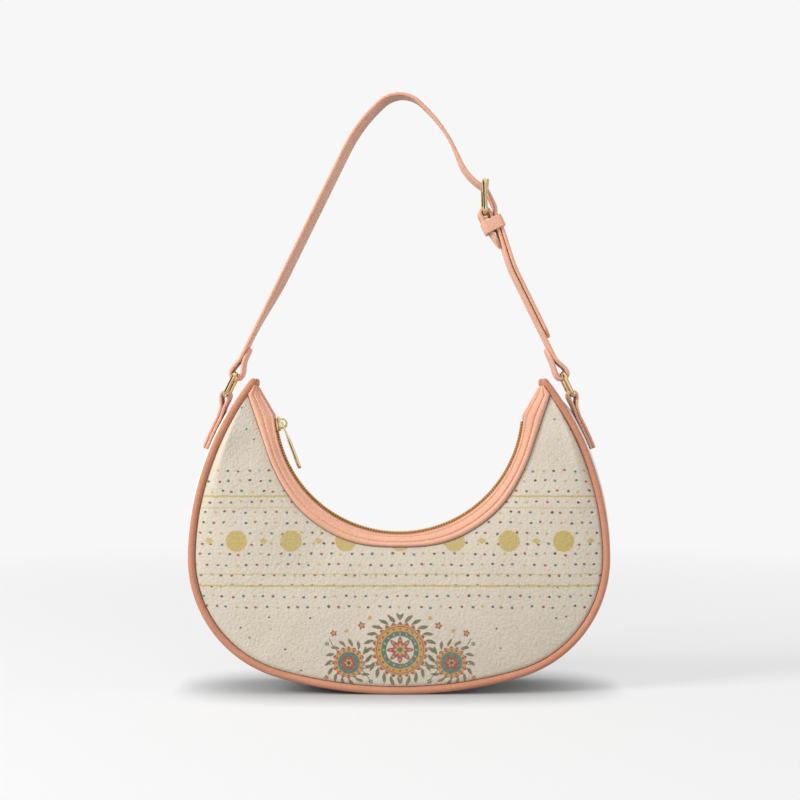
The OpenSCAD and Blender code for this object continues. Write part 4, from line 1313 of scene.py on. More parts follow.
@dataclass
class Collar:
    """The folded trim along the mouth, the zip's facing and the covers of its ends."""

    outline: Outline
    mouth: Mouth
    nominal: float = 7.5
    facing_t: float = 0.8
    facing_gap: float = 6.5
    cover_t: float = 0.9
    back_slump: float = 2.1
    dip: float = 1.1
    stitches: Stitching = field(default_factory=Stitching)

    SECTION: tuple[Flat, ...] = (
        (0.0, -1.2), (0.0, -0.7), (0.04, -0.25), (0.2, 0.1), (0.5, 0.3), (0.85, 0.3), (1.15, 0.1),
        (1.5, 0.3), (2.2, 0.85), (3.0, 1.4), (3.7, 1.75), (4.1, 1.7), (4.4, 1.42), (4.7, 1.74),
        (5.05, 2.14), (5.5, 2.44), (6.0, 2.56), (6.5, 2.44), (6.95, 2.0), (7.3, 1.2), (7.46, 0.5),
        (7.5, -0.1), (6.6, -0.2), (6.2, -1.2))
    GROOVE: Flat = (4.4, 1.48)

    def slump(self, side: Side) -> float:
        """How far the mouth's edge lies outside its nominal line: the back one hangs lower."""
        return self.back_slump if side is Side.BACK else 0.0

    def edges(self, side: Side) -> tuple[list[Vector], list[Vector]]:
        """The mouth and the trim's lower edge up to the tips, point for point, in the plane."""
        low = self.mouth.meets(self.outline, 2.0, 0.0)
        rise = [Vector(self.outline.edge(blended(low, self.outline.tip_angle - 0.4, i / 10), -2.0))
                for i in range(1, 11)]
        tip_x = self.outline.edge(low, -2.0)[0]
        trim = self.outline.leaning(self.mouth.trim_line(0.0, tip_x))
        lower = evenly(mirrored(rise) + trim + rise, 1.5)
        upper = evenly(self.outline.leaning(self.mouth.line(self.slump(side))), 1.5)
        return matched(upper, len(lower)), matched(lower, len(lower))

    def spot(self, pair: tuple[Vector, Vector], across: float, out: float, side: Side) -> Vector:
        """A point of the trim: across it in nominal millimetres from the mouth, and out."""
        point = pair[0].lerp(pair[1], across / self.nominal)
        return self.outline.on_face(point.x, point.y, out, side)

    def trim(self, side: Side) -> Object:
        """The folded trim with its ridge, its sewn groove and its rolled lower edge."""
        pairs = list(zip(*self.edges(side)))
        rings = []
        for pair in pairs:
            mid = pair[0].lerp(pair[1], 0.5)
            swell = 1 + 0.07 * noise.noise(Vector((mid.x / 17, mid.y / 17, side.value * 2.0)))
            rings.append([self.spot(pair, a, h * swell if h > 0 else h, side) for a, h in self.SECTION])
        normal = self.outline.normal(side)
        row = [self.spot(pair, *self.GROOVE, side) for pair in pairs[3:-3]]
        published(self.stitches.sewn([(row, lambda _: normal)]), f"{side.word}_trim_stitches", THREAD)
        return published(ringed(rings), f"{side.word}_trim", TRIM,
                         stands_for=[f"{side.word}_mouth_trim"], sharp=60)

    def facing(self, side: Side) -> Object:
        """The leather between the trim and the zip, folded over beside the tape."""
        line = evenly([in_space(p) for p in self.mouth.line(0.0)], 1.8)
        rings, row = [], []
        for k, point in enumerate(line):
            outward = crosswise(line, k)
            if outward.dot(point - Vector((0, 0, self.mouth.mouth_z))) < 0:
                outward = -outward
            far = self.outline.half_depth(point.z, 1.3)
            near = min(self.facing_gap, far - 1.5)
            cut = [(far, 0.0), (blended(near, far, 0.7), 0.12), (blended(near, far, 0.4), 0.16),
                   (near + 1.9, 0.1), (near + 1.5, 0.22), (near + 1.1, 0.08), (near + 0.5, 0.0),
                   (near + 0.12, 0.12), (near, 0.4), (near + 0.12, 0.68), (near + 0.5, self.facing_t),
                   (far, self.facing_t)]
            rings.append([point + outward * (d + self.sunk(side, y, near, far)) + Y_AXIS * (side.value * y)
                          for y, d in cut])
            row.append(point + outward * (0.16 + self.sunk(side, near + 1.5, near, far))
                       + Y_AXIS * (side.value * (near + 1.5)))

        def inwards(p: Vector) -> Vector:
            """The direction from the facing to the centre of the mouth's arc."""
            return Vector((-p.x, 0.0, self.mouth.mouth_z - p.z))

        published(self.stitches.sewn([(row[6:-6], inwards)]), f"{side.word}_facing_stitches", THREAD)
        return published(ringed(rings), f"{side.word}_facing", TRIM, stands_for=[f"{side.word}_zip_facing"])

    def sunk(self, side: Side, y: float, near: float, far: float) -> float:
        """How far the facing sinks outwards at a depth between its two edges."""
        return blended(self.dip, self.slump(side), eased((y - near) / max(1.0, far - near)))

    def cover(self, hand: Hand) -> Object:
        """The leather folded over an end of the zip and down onto the gusset."""
        drop = -(self.cover_t / 2 - 0.25)
        outward = self.mouth.line_out()[1]
        tip = self.outline.gusset_top(126.6, 0.0)
        path = filleted([
            self.mouth.arc(self.mouth.mouth_angle - 0.5, drop),
            tuple(self.mouth.corner(0.0) + drop * outward),
            tuple(Vector(self.mouth.tip) + drop * outward), (tip[0], tip[1] + self.cover_t + 0.1),
            self.outline.gusset_top(124.0, self.cover_t / 2 + 0.3)], [0, 3.0, 2.0, 2.0, 0])
        path = evenly([Vector((hand.value * p.x, 0.0, p.z)) for p in path], 0.8)

        def section(k: int) -> list[Flat]:
            """The leather's cut end, sunk towards the back with the mouth's edge."""
            half = self.outline.half_depth(path[k].z, 1.25)
            end = min(k, len(path) - 1 - k)
            thin = (0.55, 0.85)[end] if end < 2 else 1.0
            sink = (self.back_slump + 0.6) * eased((len(path) - 1 - k) * 0.8 / 12)
            return [(a - hand.value * sink * eased(0.35 + 0.65 * b / half), b)
                    for a, b in strap_section(self.cover_t / 2 * thin, half, 0.45, 0.12)]

        bm = swept(path, Y_AXIS, section)
        return published(bm, f"{hand.word}_cover", TRIM, stands_for=[f"{hand.word}_end_cover"])

    def build(self) -> None:
        """Builds and dresses the collar."""
        for side in Side:
            self.trim(side)
            self.facing(side)
        for hand in Hand:
            self.cover(hand)


@dataclass
class Zip:
    """Tapes, teeth, stops, slider, bridge and pull."""

    mouth: Mouth
    chain_r: float = 85.3
    chain_angle: float = 86.4
    pitch: float = 1.9
    row_gap: float = 0.5
    tooth: tuple[float, float, float] = (1.1, 2.1, 4.1)
    slider_angle: float = 83.0
    plate_top_r: float = 81.55
    plate_low_r: float = 89.05
    pull_angle: float = 14.0
    twist: float = -18.0

    def at(self, angle: float) -> Matrix:
        """Place on the mouth curve, angle degrees to the left of its lowest point."""
        return Matrix.Translation((0, 0, self.mouth.mouth_z)) @ Matrix.Rotation(math.radians(angle), 4, "Y")

    def row_middle(self, side: Side) -> Vector:
        """The middle of a row of teeth, straight below the centre of the mouth's arc."""
        return Vector((0.0, side.value * (self.row_gap + self.tooth[1] / 2), -self.chain_r))

    def tape(self, side: Side) -> Object:
        """A woven tape with a corded edge beside the teeth."""
        cut = [(2.65, 0.0), (2.75, -0.16), (3.1, -0.2), (3.4, -0.06), (5.0, 0.5), (6.2, 1.0), (11.65, 1.4),
               (11.65, 1.8), (6.2, 1.4), (5.0, 0.9), (3.4, 0.46), (3.1, 0.56), (2.75, 0.5), (2.65, 0.4)]
        along = 220
        rings = []
        for j in range(along + 1):
            place = self.at(blended(-self.chain_angle, self.chain_angle, j / along))
            rings.append([place @ Vector((0.0, side.value * y, -(self.chain_r - 0.2 + d))) for y, d in cut])
        return published(ringed(rings), f"{side.word}_tape", TAPE, stands_for=[f"{side.word}_zip_tape"])

    def teeth(self, side: Side) -> Object:
        """A row of teeth, each clamped on the tape and narrower at its head."""
        tooth, head = bevelled_block(self.tooth, 0.24, 1), 0.86
        for vert in tooth.verts:
            if vert.co.y * side.value < 0:
                vert.co.z *= head
                vert.co.x *= head
        step = math.degrees(self.pitch / self.chain_r)
        count = math.floor((self.chain_angle - math.degrees(1.6 / self.chain_r)) / step)
        shift = 0.25 if side is Side.BACK else 0.75
        mid = self.row_middle(side)
        row = [(tooth, self.at((i + shift) * step) @ Matrix.Translation(mid)) for i in range(-count, count)]
        return published(joined(row), f"{side.word}_teeth", TEETH, stands_for=[f"{side.word}_zip_teeth"],
                         sharp=30)

    def stops(self) -> Object:
        """A bent metal stop on each tape, at both ends."""
        stop = bevelled_block((3.2, self.tooth[1], 1.8), 0.3)
        parts = []
        for angle in (-self.chain_angle, self.chain_angle):
            for side in Side:
                parts.append((stop, self.at(angle) @ Matrix.Translation(self.row_middle(side))))
        return published(joined(parts), "chain_stops", TEETH, stands_for=["zip_stops"], sharp=30)

    def slider(self) -> Object:
        """Two shield-shaped plates with turned rims, joined by a wedge."""
        shield = [(-5.0, -3.3), (-3.9, -4.1), (-1.0, -4.7), (3.6, -4.7), (4.7, -4.1), (5.0, -3.2),
                  (5.0, 3.2), (4.7, 4.1), (3.6, 4.7), (-1.0, 4.7), (-3.9, 4.1), (-5.0, 3.3)]
        parts, thick = [], 1.5
        place = self.at(self.slider_angle)
        for radius in (self.plate_top_r + thick / 2, self.plate_low_r - thick / 2):
            parts.append((plate(shield, thick, 0.35), place @ Matrix.Translation((0, 0, -radius))))
        for radius in (self.chain_r - 1.4, self.chain_r + 1.45):
            for side in (-1, 1):
                rim = bevelled_block((8.6, 1.6, 1.7), 0.3)
                parts.append((rim, place @ Matrix.Translation((0.3, side * 3.88, -radius))))
        wedge = bevelled_block((4.0, 0.4, self.plate_low_r - self.plate_top_r - thick), 0.08)
        parts.append((wedge, place @ Matrix.Translation((0, 0, -self.chain_r))))
        return published(joined(parts), "slider_body", GOLD, "zip_slider", ["zip_slider"], sharp=30)

    def bridge(self) -> Object:
        """The wire arch on the slider, a little flared at its feet."""
        reach, leg, wire = 3.1, 1.1, 0.7
        line = [Vector((-reach, 0, 0)), Vector((-reach, 0, leg * 0.5))]
        line += [Vector((-reach * math.cos(math.pi * i / 18), 0, leg + reach * math.sin(math.pi * i / 18)))
                 for i in range(19)]
        line += [Vector((reach, 0, leg * 0.5)), Vector((reach, 0, 0))]

        def section(k: int) -> list[Flat]:
            """The wire, thicker at its feet."""
            flare = 1.35 if k in (0, len(line) - 1) else 1.12 if k in (1, len(line) - 2) else 1.0
            return disc_section(wire * flare, 12)

        arch = in_millimetres(swept(line, Y_AXIS, section))
        place = self.at(self.slider_angle) @ Matrix.Translation((0, 0, -self.plate_top_r + 0.05))
        return published(joined([(arch, place)]), "slider_arch", GOLD, "zip_slider", ["zip_slider_bridge"])

    def pull(self) -> Object:
        """The blade on its bar, with a window for the bridge and a slot near its end."""
        length, half, corner = 34.0, 3.2, 1.6
        rim = [(-0.55, -2.4), (0.6, -half)] + [(2.7 * i, -half) for i in range(1, 12)]
        rim += [(length - corner + corner * math.sin(turn), -half + corner - corner * math.cos(turn))
                for turn in (math.radians(15 * i) for i in range(7))]
        rim += [(x, -y) for x, y in reversed(rim)]
        window = [(0.7, -1.3), (6.6, -1.3), (6.6, 1.3), (0.7, 1.3)]
        blade = plate(rim, 1.3, 0.32, [window, slot_rim(26.0, 5.0, 1.0)])
        for vert in blade.verts:
            turn = Matrix.Rotation(math.radians(self.twist) * eased((vert.co.x - 2.0) / 14.0), 3, "X")
            vert.co = turn @ vert.co
        bar = bmesh.new()
        bmesh.ops.create_cone(bar, cap_ends=True, segments=16, radius1=0.7, radius2=0.7, depth=6.3,
                              matrix=Matrix.Rotation(math.pi / 2, 4, "X"))
        place = self.at(self.slider_angle) @ Matrix.Translation((-1.0, 0, -self.plate_top_r + 1.15)) \
            @ Matrix.Rotation(math.radians(-self.pull_angle), 4, "Y")
        return published(joined([(blade, place), (bar, place)]), "pull_blade", GOLD, "zip_pull",
                         ["zip_pull"], sharp=30)

    def build(self) -> None:
        """Builds and dresses the zip."""
        for side in Side:
            self.tape(side)
            self.teeth(side)
        self.stops()
        self.slider()
        self.bridge()
        self.pull()


@dataclass
class Carrier:
    """Anchor tabs, rings and the two parts of the strap."""

    outline: Outline
    strand: Strand
    strap_w: float = 19.0
    strap_t: float = 2.4
    line_n: float = 1.7
    loop_r: float = 3.65
    layer: float = 2.55
    pair_n: float = 1.45
    heel_at: float = 120.8
    heel_n: float = 1.1
    heel_loop_r: float = 3.3
    tab_t: float = 1.8
    ring_r: float = 1.5
    ring_w: float = 25.7
    arch: tuple[float, float, float] = (28.5, 18.74, 6.93)
    crown_r: float = 31.0
    hole_r: float = 2.1
    stitches: Stitching = field(default_factory=lambda: Stitching(2.6, 3.5, 0.25))

    LOOP_RADII: tuple[float, ...] = (0, 9, 3, 3.65, 3.65, 3, 9)

    def ring_loop(self, n: float) -> list[Vector]:
        """Corners of the loop round a ring's upper bar, from the flap's end to the strap's line."""
        at, r = self.strand.at, self.loop_r
        return [at(20, n - self.layer), at(10.5, n - self.layer), at(2.4, -r), at(-r, -r), at(-r, r),
                at(2.4, r), at(10.5, n)]

    def ribbon(self, corners: Sequence[Vector], radii: Sequence[float], name: str, node: str,
               width: float, thick: float, tips: tuple[bool, bool], body: str, sewn: bool = True,
               sway: Optional[Callable[[Vector], Vector]] = None) -> Object:
        """A leather ribbon along a line, with soft edges and rounded tips.

        Args:
            corners: The line's corners as (x, height).
            radii: Their radii.
            name: The piece's name.
            node: The node that it replaces.
            width: Its width.
            thick: Its thickness.
            tips: Whether the first and the last end are rounded in plan.
            body: The body that it rides on.
            sewn: Whether a row of stitches runs along both edges.
            sway: Moves each point of the ribbon, in millimetres.

        Returns:
            The ribbon.
        """
        line = evenly(filleted([tuple(c) for c in corners], radii, 5.0), 1.5)
        points, shares = round_ends(line, width / 2 * 0.8, 9, *tips)
        half = width / 2
        last = len(points) - 1

        def section(k: int) -> list[Flat]:
            """The ribbon's cut end, narrower at a rounded tip."""
            thin = 1.0 if 0 < k < last else 0.8
            soft = 1 + 0.03 * noise.noise(points[k] / 14)
            plan = max(0.30, shares[k])
            return strap_section(thick / 2 * thin * soft, half * plan, thick * 0.42, thick * 0.03)

        def leant(bm: BMesh) -> BMesh:
            """The same mesh, swayed."""
            for vert in bm.verts if sway else ():
                vert.co = sway(vert.co / MM) * MM
            return bm

        piece = published(leant(swept(points, Y_AXIS, section)), name, STRAP, body, [node], sharp=55)
        if sewn:
            rows = []
            inner = [p for p, s in zip(points, shares) if s > 0.985]
            for y in (-half + 2.1, half - 2.1):
                for face in (-1, 1):
                    row = [p + crosswise(inner, k) * face * (thick / 2 - 0.1) + Y_AXIS * y
                           for k, p in enumerate(inner)]
                    rows.append((row, self.outwards(inner, face)))
            published(leant(self.stitches.sewn(rows)), f"{name}_stitches", THREAD, body)
        return piece

    @staticmethod
    def outwards(line: Sequence[Vector], face: int) -> Callable[[Vector], Vector]:
        """What gives the outward direction of one face of a ribbon near a point."""
        def outward(point: Vector) -> Vector:
            """The direction at the line's nearest point."""
            flat = Vector((point.x, 0.0, point.z))
            k = min(range(len(line)), key=lambda i: (line[i] - flat).length_squared)
            return crosswise(line, k) * face

        return outward

    def swayed(self, point: Vector) -> Vector:
        """Where a point of the long strap lies once its strands have leant a little to one side."""
        share = min(1.0, max(0.0, point.y / self.strap_w + 0.5))
        reach = 3.3 * eased((point.z - 238) / 40) if point.x < 0 else 2.4 * eased((point.z - 352) / 24)
        return point + Vector((reach * share, 0.0, 0.0))

    def shoulder(self) -> Object:
        """The long strap, over the top and through the buckle to its free tip."""
        at, s = self.strand.at, self.strand
        main_n = self.heel_n + self.heel_loop_r + self.strap_t + 0.45
        main_heel, flap_n = main_n + 2.1, self.line_n + self.pair_n
        out = s.out()
        top = s.upper_bar()
        apex = Vector((0.0, top.y + (top.x + self.line_n / out.x) / math.tan(math.radians(s.angle))))
        crown = apex.y - self.crown_r * (1 / math.sin(math.radians(s.angle)) - 1)
        reach, drop, rise = self.arch
        corners = [Vector((-p.x, p.y)) for p in self.ring_loop(self.line_n)] + [
            Vector((-reach, crown - drop)), Vector((0.0, crown + rise)), Vector((reach, crown - drop)),
            at(148, self.line_n), at(135.2, main_heel), at(121.5, main_heel), at(117.3, main_n),
            at(107, main_n), at(80, flap_n), at(26, flap_n)]
        radii = list(self.LOOP_RADII) + [105, 20, 105, 38, 8, 8, 8, 40, 60, 0]
        piece = self.ribbon(corners, radii, "long_strap", "shoulder_strap", self.strap_w, self.strap_t,
                            (True, True), "strap", sway=self.swayed)
        cutters = []
        for up, n, turn in ((134.0, main_heel, 32.2 - s.angle), *(
                (36 + 20 * i, flap_n, 90 - s.angle) for i in range(3))):
            punch = bmesh.new()
            bmesh.ops.create_cone(punch, cap_ends=True, segments=20, radius1=self.hole_r,
                                  radius2=self.hole_r, depth=8.0)
            cutters.append((punch, Matrix.Translation(in_space(at(up, n)))
                            @ Matrix.Rotation(math.radians(turn), 4, "Y")))
        drilled(piece, cutters)
        return piece

    def short(self) -> Object:
        """The short strap, looped round the right ring and round the buckle's heel."""
        at = self.strand.at
        low_n = self.line_n - self.pair_n
        outer = self.heel_n + self.heel_loop_r
        inner = self.heel_n - self.heel_loop_r
        corners = self.ring_loop(low_n) + [
            at(80, low_n), at(107, outer), at(self.heel_at + self.heel_loop_r, outer),
            at(self.heel_at + self.heel_loop_r, inner), at(118, inner), at(95.5, inner + 3.0)]
        radii = list(self.LOOP_RADII) + [60, 40, 3.3, 3.3, 20, 0]
        piece = self.ribbon(corners, radii, "short_strap", "buckle_strap", self.strap_w, self.strap_t,
                            (True, True), "strap")
        slot = bevelled_block((4 * self.heel_loop_r, 4.1, 12.0), 0.8)
        heel = at(self.heel_at + self.heel_loop_r / 2, self.heel_n)
        drilled(piece, [(slot, Matrix.Translation(in_space(heel))
                         @ Matrix.Rotation(math.radians(-self.strand.angle), 4, "Y"))])
        return piece

    def ring(self, hand: Hand) -> Object:
        """A rectangular ring of polished wire."""
        up = tilted(-self.strand.angle * hand.value)
        foot = Vector((self.strand.anchor[0] * hand.value, 0.0, self.strand.anchor[1]))
        bm = wire_frame(foot, up, self.strand.ring_len, self.ring_w, self.ring_r, 3.0)
        return published(bm, f"{hand.word}_ring_wire", GOLD, f"{hand.word}_ring", [f"{hand.word}_ring"])

    def tab(self, hand: Hand) -> Object:
        """A tab of folded leather, sewn on the gusset and looped round the ring's lower bar."""
        near = self.tab_t / 2 + 0.1
        far = near + self.tab_t + 0.15
        sewn = [blended(111.5, 118.0, i / 4) for i in range(5)]
        bar = Vector(self.strand.anchor)
        w = 2.75 * (bar - Vector(self.outline.gusset_top(118.0, near))).normalized()
        n = Vector((w.y, -w.x))
        pinch, half = bar - 2.9 * w, (far - near) / 2 * n.normalized()
        corners = [Vector(self.outline.gusset_top(a, near)) for a in sewn]
        corners += [pinch - half, bar - n - w / 2, bar - n + w, bar + n + w, bar + n - w / 2, pinch + half]
        corners += [Vector(self.outline.gusset_top(a, far)) for a in reversed(sewn)]
        radii = [0, 0, 0, 0, 14, 7, 3, 2.75, 2.75, 3, 7, 14, 0, 0, 0, 0]
        corners = [Vector((hand.value * c.x, c.y)) for c in corners]
        piece = self.ribbon(corners, radii, f"{hand.word}_tab", f"{hand.word}_anchor_tab", self.strap_w,
                            self.tab_t, (False, False), "bag", sewn=False)

        def sewn_at(angle: float, y: float) -> Vector:
            """A place on the tab's outer face."""
            x, z = self.outline.gusset_top(angle, far + self.tab_t / 2 + 0.02)
            return Vector((hand.value * x, y, z))

        lines = [[sewn_at(112.0 + i, y) for i in range(7)] for y in (-7.2, 7.2)]
        lines.append([sewn_at(112.2, y) for y in (-7, 0, 7)])
        rows = [(line, lambda p: Vector((p.x, 0.0, 40.0))) for line in lines]
        published(self.stitches.sewn(rows), f"{hand.word}_tab_stitches", THREAD)
        return piece

    def build(self) -> None:
        """Builds and dresses the carrier."""
        for hand in Hand:
            self.tab(hand)
            self.ring(hand)
        self.shoulder()
        self.short()


def wire_frame(foot: Vector, up: Vector, length: float, width: float, wire: float,
               corner: float) -> BMesh:
    """Round wire bent to a rectangle between two bars that run along Y.

    Args:
        foot: Centre of the first bar.
        up: Unit direction from it to the second bar.
        length: Distance between the bars.
        width: Distance between the side wires.
        wire: Radius of the wire.
        corner: Radius of the bends.

    Returns:
        The closed frame in metres.
    """
    line: list[Vector] = []
    for a, b, start in ((1, 0, -90), (1, 1, 0), (-1, 1, 90), (-1, 0, 180)):
        centre = Vector((a * (width / 2 - corner), corner if b == 0 else length - corner))
        for i in range(9):
            turn = math.radians(start + 90 * i / 8)
            line.append(centre + corner * Vector((math.cos(turn), math.sin(turn))))
    points = evenly([foot + Y_AXIS * p.x + up * p.y for p in line], 1.0, closed=True)
    return swept(points, up.cross(Y_AXIS).normalized(), lambda _: disc_section(wire, 16), closed=True)


@dataclass
class Buckle:
    """The buckle's frame and prong, and the keeper below it."""

    strand: Strand
    heel_at: float = 120.8
    heel_n: float = 1.1
    length: float = 22.2
    angle: float = 24.6
    width: float = 23.9
    bar_r: float = 1.6
    prong_r: float = 1.0
    keeper_at: float = 107.5
    keeper_len: float = 8.7
    keeper_room: Spot = (-2.6, 8.65, 9.85)

    def heel(self) -> Vector:
        """Centre of the heel bar."""
        return in_space(self.strand.at(self.heel_at, self.heel_n))

    def frame(self) -> Object:
        """The rectangular frame of thick wire."""
        bm = wire_frame(self.heel(), tilted(self.angle - self.strand.angle), self.length, self.width,
                        self.bar_r, 3.0)
        return published(bm, "buckle_wire", GOLD, "buckle_frame", ["buckle_frame"])

    def prong(self) -> Object:
        """The prong: a coil round the heel bar and a tapered pin that rests on the frame."""
        lift = self.bar_r + self.prong_r + 0.3
        up = tilted(self.angle + math.degrees(math.asin(lift / self.length)) - self.strand.angle)
        heel = self.heel()
        coil = [heel + 2.7 * Vector((math.cos(a), 0, math.sin(a)))
                for a in (2 * math.pi * i / 28 for i in range(28))]
        wrap = swept(coil, Y_AXIS, lambda _: strap_section(0.75, 1.7, 0.4), closed=True)
        line = [heel + up * s for s in (2.45, 4.0, 6.0, 10.0, 14.0, 18.0, 21.0, 23.0, 24.8)]
        points, shares = round_ends(line, 1.0, 5, False, True)

        def section(k: int) -> list[Flat]:
            """The pin, a little flat and thinner towards its tip."""
            along = (points[k] - heel).length
            radius = self.prong_r * blended(1.12, 0.92, min(1.0, along / 24.8)) * shares[k]
            return [(a * 0.9, b * (1.25 if along < 6 else 1.05)) for a, b in disc_section(radius, 14)]

        parts = [(in_millimetres(part), Matrix.Identity(4))
                 for part in (wrap, swept(points, Y_AXIS, section))]
        return published(joined(parts), "buckle_pin", GOLD, "buckle_prong", ["buckle_prong"])

    def keeper(self) -> Object:
        """A loop of leather round both layers, with soft edges."""
        low, high, half, wall, corner = *self.keeper_room, 1.5, 1.3
        mid, deep, wide = (low + high) / 2, (high - low) / 2 + wall / 2, half + wall / 2
        up, out = in_space(self.strand.up()), in_space(self.strand.out())
        centre = in_space(self.strand.at(self.keeper_at + self.keeper_len / 2, mid))
        line = []
        for a, b, start in ((1, 1, 0), (-1, 1, 90), (-1, -1, 180), (1, -1, 270)):
            for i in range(7):
                turn = math.radians(start + 15 * i)
                line.append(centre + out * (a * (deep - corner) + corner * math.cos(turn))
                            + Y_AXIS * (b * (wide - corner) + corner * math.sin(turn)))
        points = evenly(line, 0.9, closed=True)

        def section(k: int) -> list[Flat]:
            """The loop's band, a little uneven in its width."""
            swell = 1 + 0.05 * noise.noise(points[k] / 6)
            return strap_section(wall / 2, self.keeper_len / 2 * swell * 0.98, 0.55, 0.1)

        return published(swept(points, up, section, closed=True), "keeper_loop", STRAP, "strap_keeper",
                         ["strap_keeper"], sharp=60)

    def build(self) -> None:
        """Builds and dresses the buckle."""
        self.frame()
        self.prong()
        self.keeper()


@dataclass
class Inside:
    """Linings, slip pocket, boards, patches and the cores of the piping."""

    outline: Outline
    mouth: Mouth
    nodes: dict
    lining_back: float = 2.4
    lining_t: float = 0.5

    def cloth(self, bm: BMesh, name: str, node: str) -> Object:
        """Makes a sheet of lining cloth and reckons its area.

        Args:
            bm: The sheet in metres.
            name: The piece's name.
            node: The node that it replaces.

        Returns:
            The piece.
        """
        area = sum(face.calc_area() for face in bm.faces)
        piece = walled(published(bm, name, LINING, stands_for=[node]), self.lining_t)
        return piece

    def lining(self, side: Side) -> Object:
        """The cloth behind a face, up to the zip."""
        lower = [Vector(self.outline.edge(a, -4.6)) for a in self.outline.angles(121.0, 5.0)]
        upper = matched(self.outline.leaning(self.mouth.line(1.6)), len(lower))
        across = 20

        def place(i: int, j: int) -> Vector:
            """A point of the cloth in its plane."""
            point = lower[j].lerp(upper[j], i / across)
            return self.outline.on_face(point.x, point.y, -self.lining_back + self.lining_t, side)

        bm = faced(grid(across, len(lower) - 1, place), lambda _: self.outline.normal(side))
        return self.cloth(bm, f"{side.word}_lining_cloth", f"{side.word}_lining")

    def gusset_lining(self) -> Object:
        """The cloth inside the gusset."""
        angles = self.outline.angles(118.0, 4.0)
        across = 12

        def place(i: int, j: int) -> Vector:
            """A point of the cloth across and along the gusset."""
            share = 2 * i / across - 1
            return self.outline.gusset_point(angles[j], share, -2.8, 2.5)

        bm = faced(grid(across, len(angles) - 1, place), lambda p: Vector((p.x, 0.0, p.z - 0.15)))
        return self.cloth(bm, "gusset_lining_cloth", "gusset_lining")

    def pocket(self) -> Object:
        """A slip pocket on the back lining, with a hem and a sewn edge."""
        wide, high, low = 110.0, 55.0, 38.0
        across, along = 44, 24

        def place(i: int, j: int) -> Vector:
            """A point of the pocket, a little open above and thicker at its hem."""
            u, v = i / across, j / along
            puff = 0.35 * math.sin(math.pi * u) * math.sin(math.pi * v * 0.6)
            hem = 0.25 if v > 0.9 else 0.0
            return self.outline.on_face((u - 0.5) * wide, low + v * high, -3.35 - puff - hem, Side.BACK)

        inward = -self.outline.normal(Side.BACK)
        bm = faced(grid(across, along, place), lambda _: inward)
        piece = self.cloth(bm, "pocket_cloth", "slip_pocket")
        corners = [(-wide / 2 + 2, low + high - 1), (-wide / 2 + 2, low + 2), (wide / 2 - 2, low + 2),
                   (wide / 2 - 2, low + high - 1)]
        line = [self.outline.on_face(x, up, -3.4, Side.BACK) for x, up in corners]
        published(Stitching().sewn([([a, b], lambda _: inward) for a, b in zip(line, line[1:])]),
                  "pocket_stitches", CREAM_THREAD)
        return piece

    def dress_nodes(self) -> None:
        """Finishes for the stiff pieces that keep the frame's own shape."""
        for names, finish in ((("front_backing", "back_backing", "gusset_backing", "left_anchor_patch",
                                "right_anchor_patch"), BOARD),
                              (("front_piping_cord", "back_piping_cord"), CORD)):
            for name in names:
                mesh = self.nodes[name].data
                mesh.materials.clear()
                mesh.materials.append(finish.material())
                log.info("%s: dressed as %s", name, finish.name)

    def build(self) -> None:
        """Builds and dresses the inside."""
        for side in Side:
            self.lining(side)
        self.gusset_lining()
        self.pocket()
        self.dress_nodes()


# ---- Studio ----------------------------------------------------------------------------------


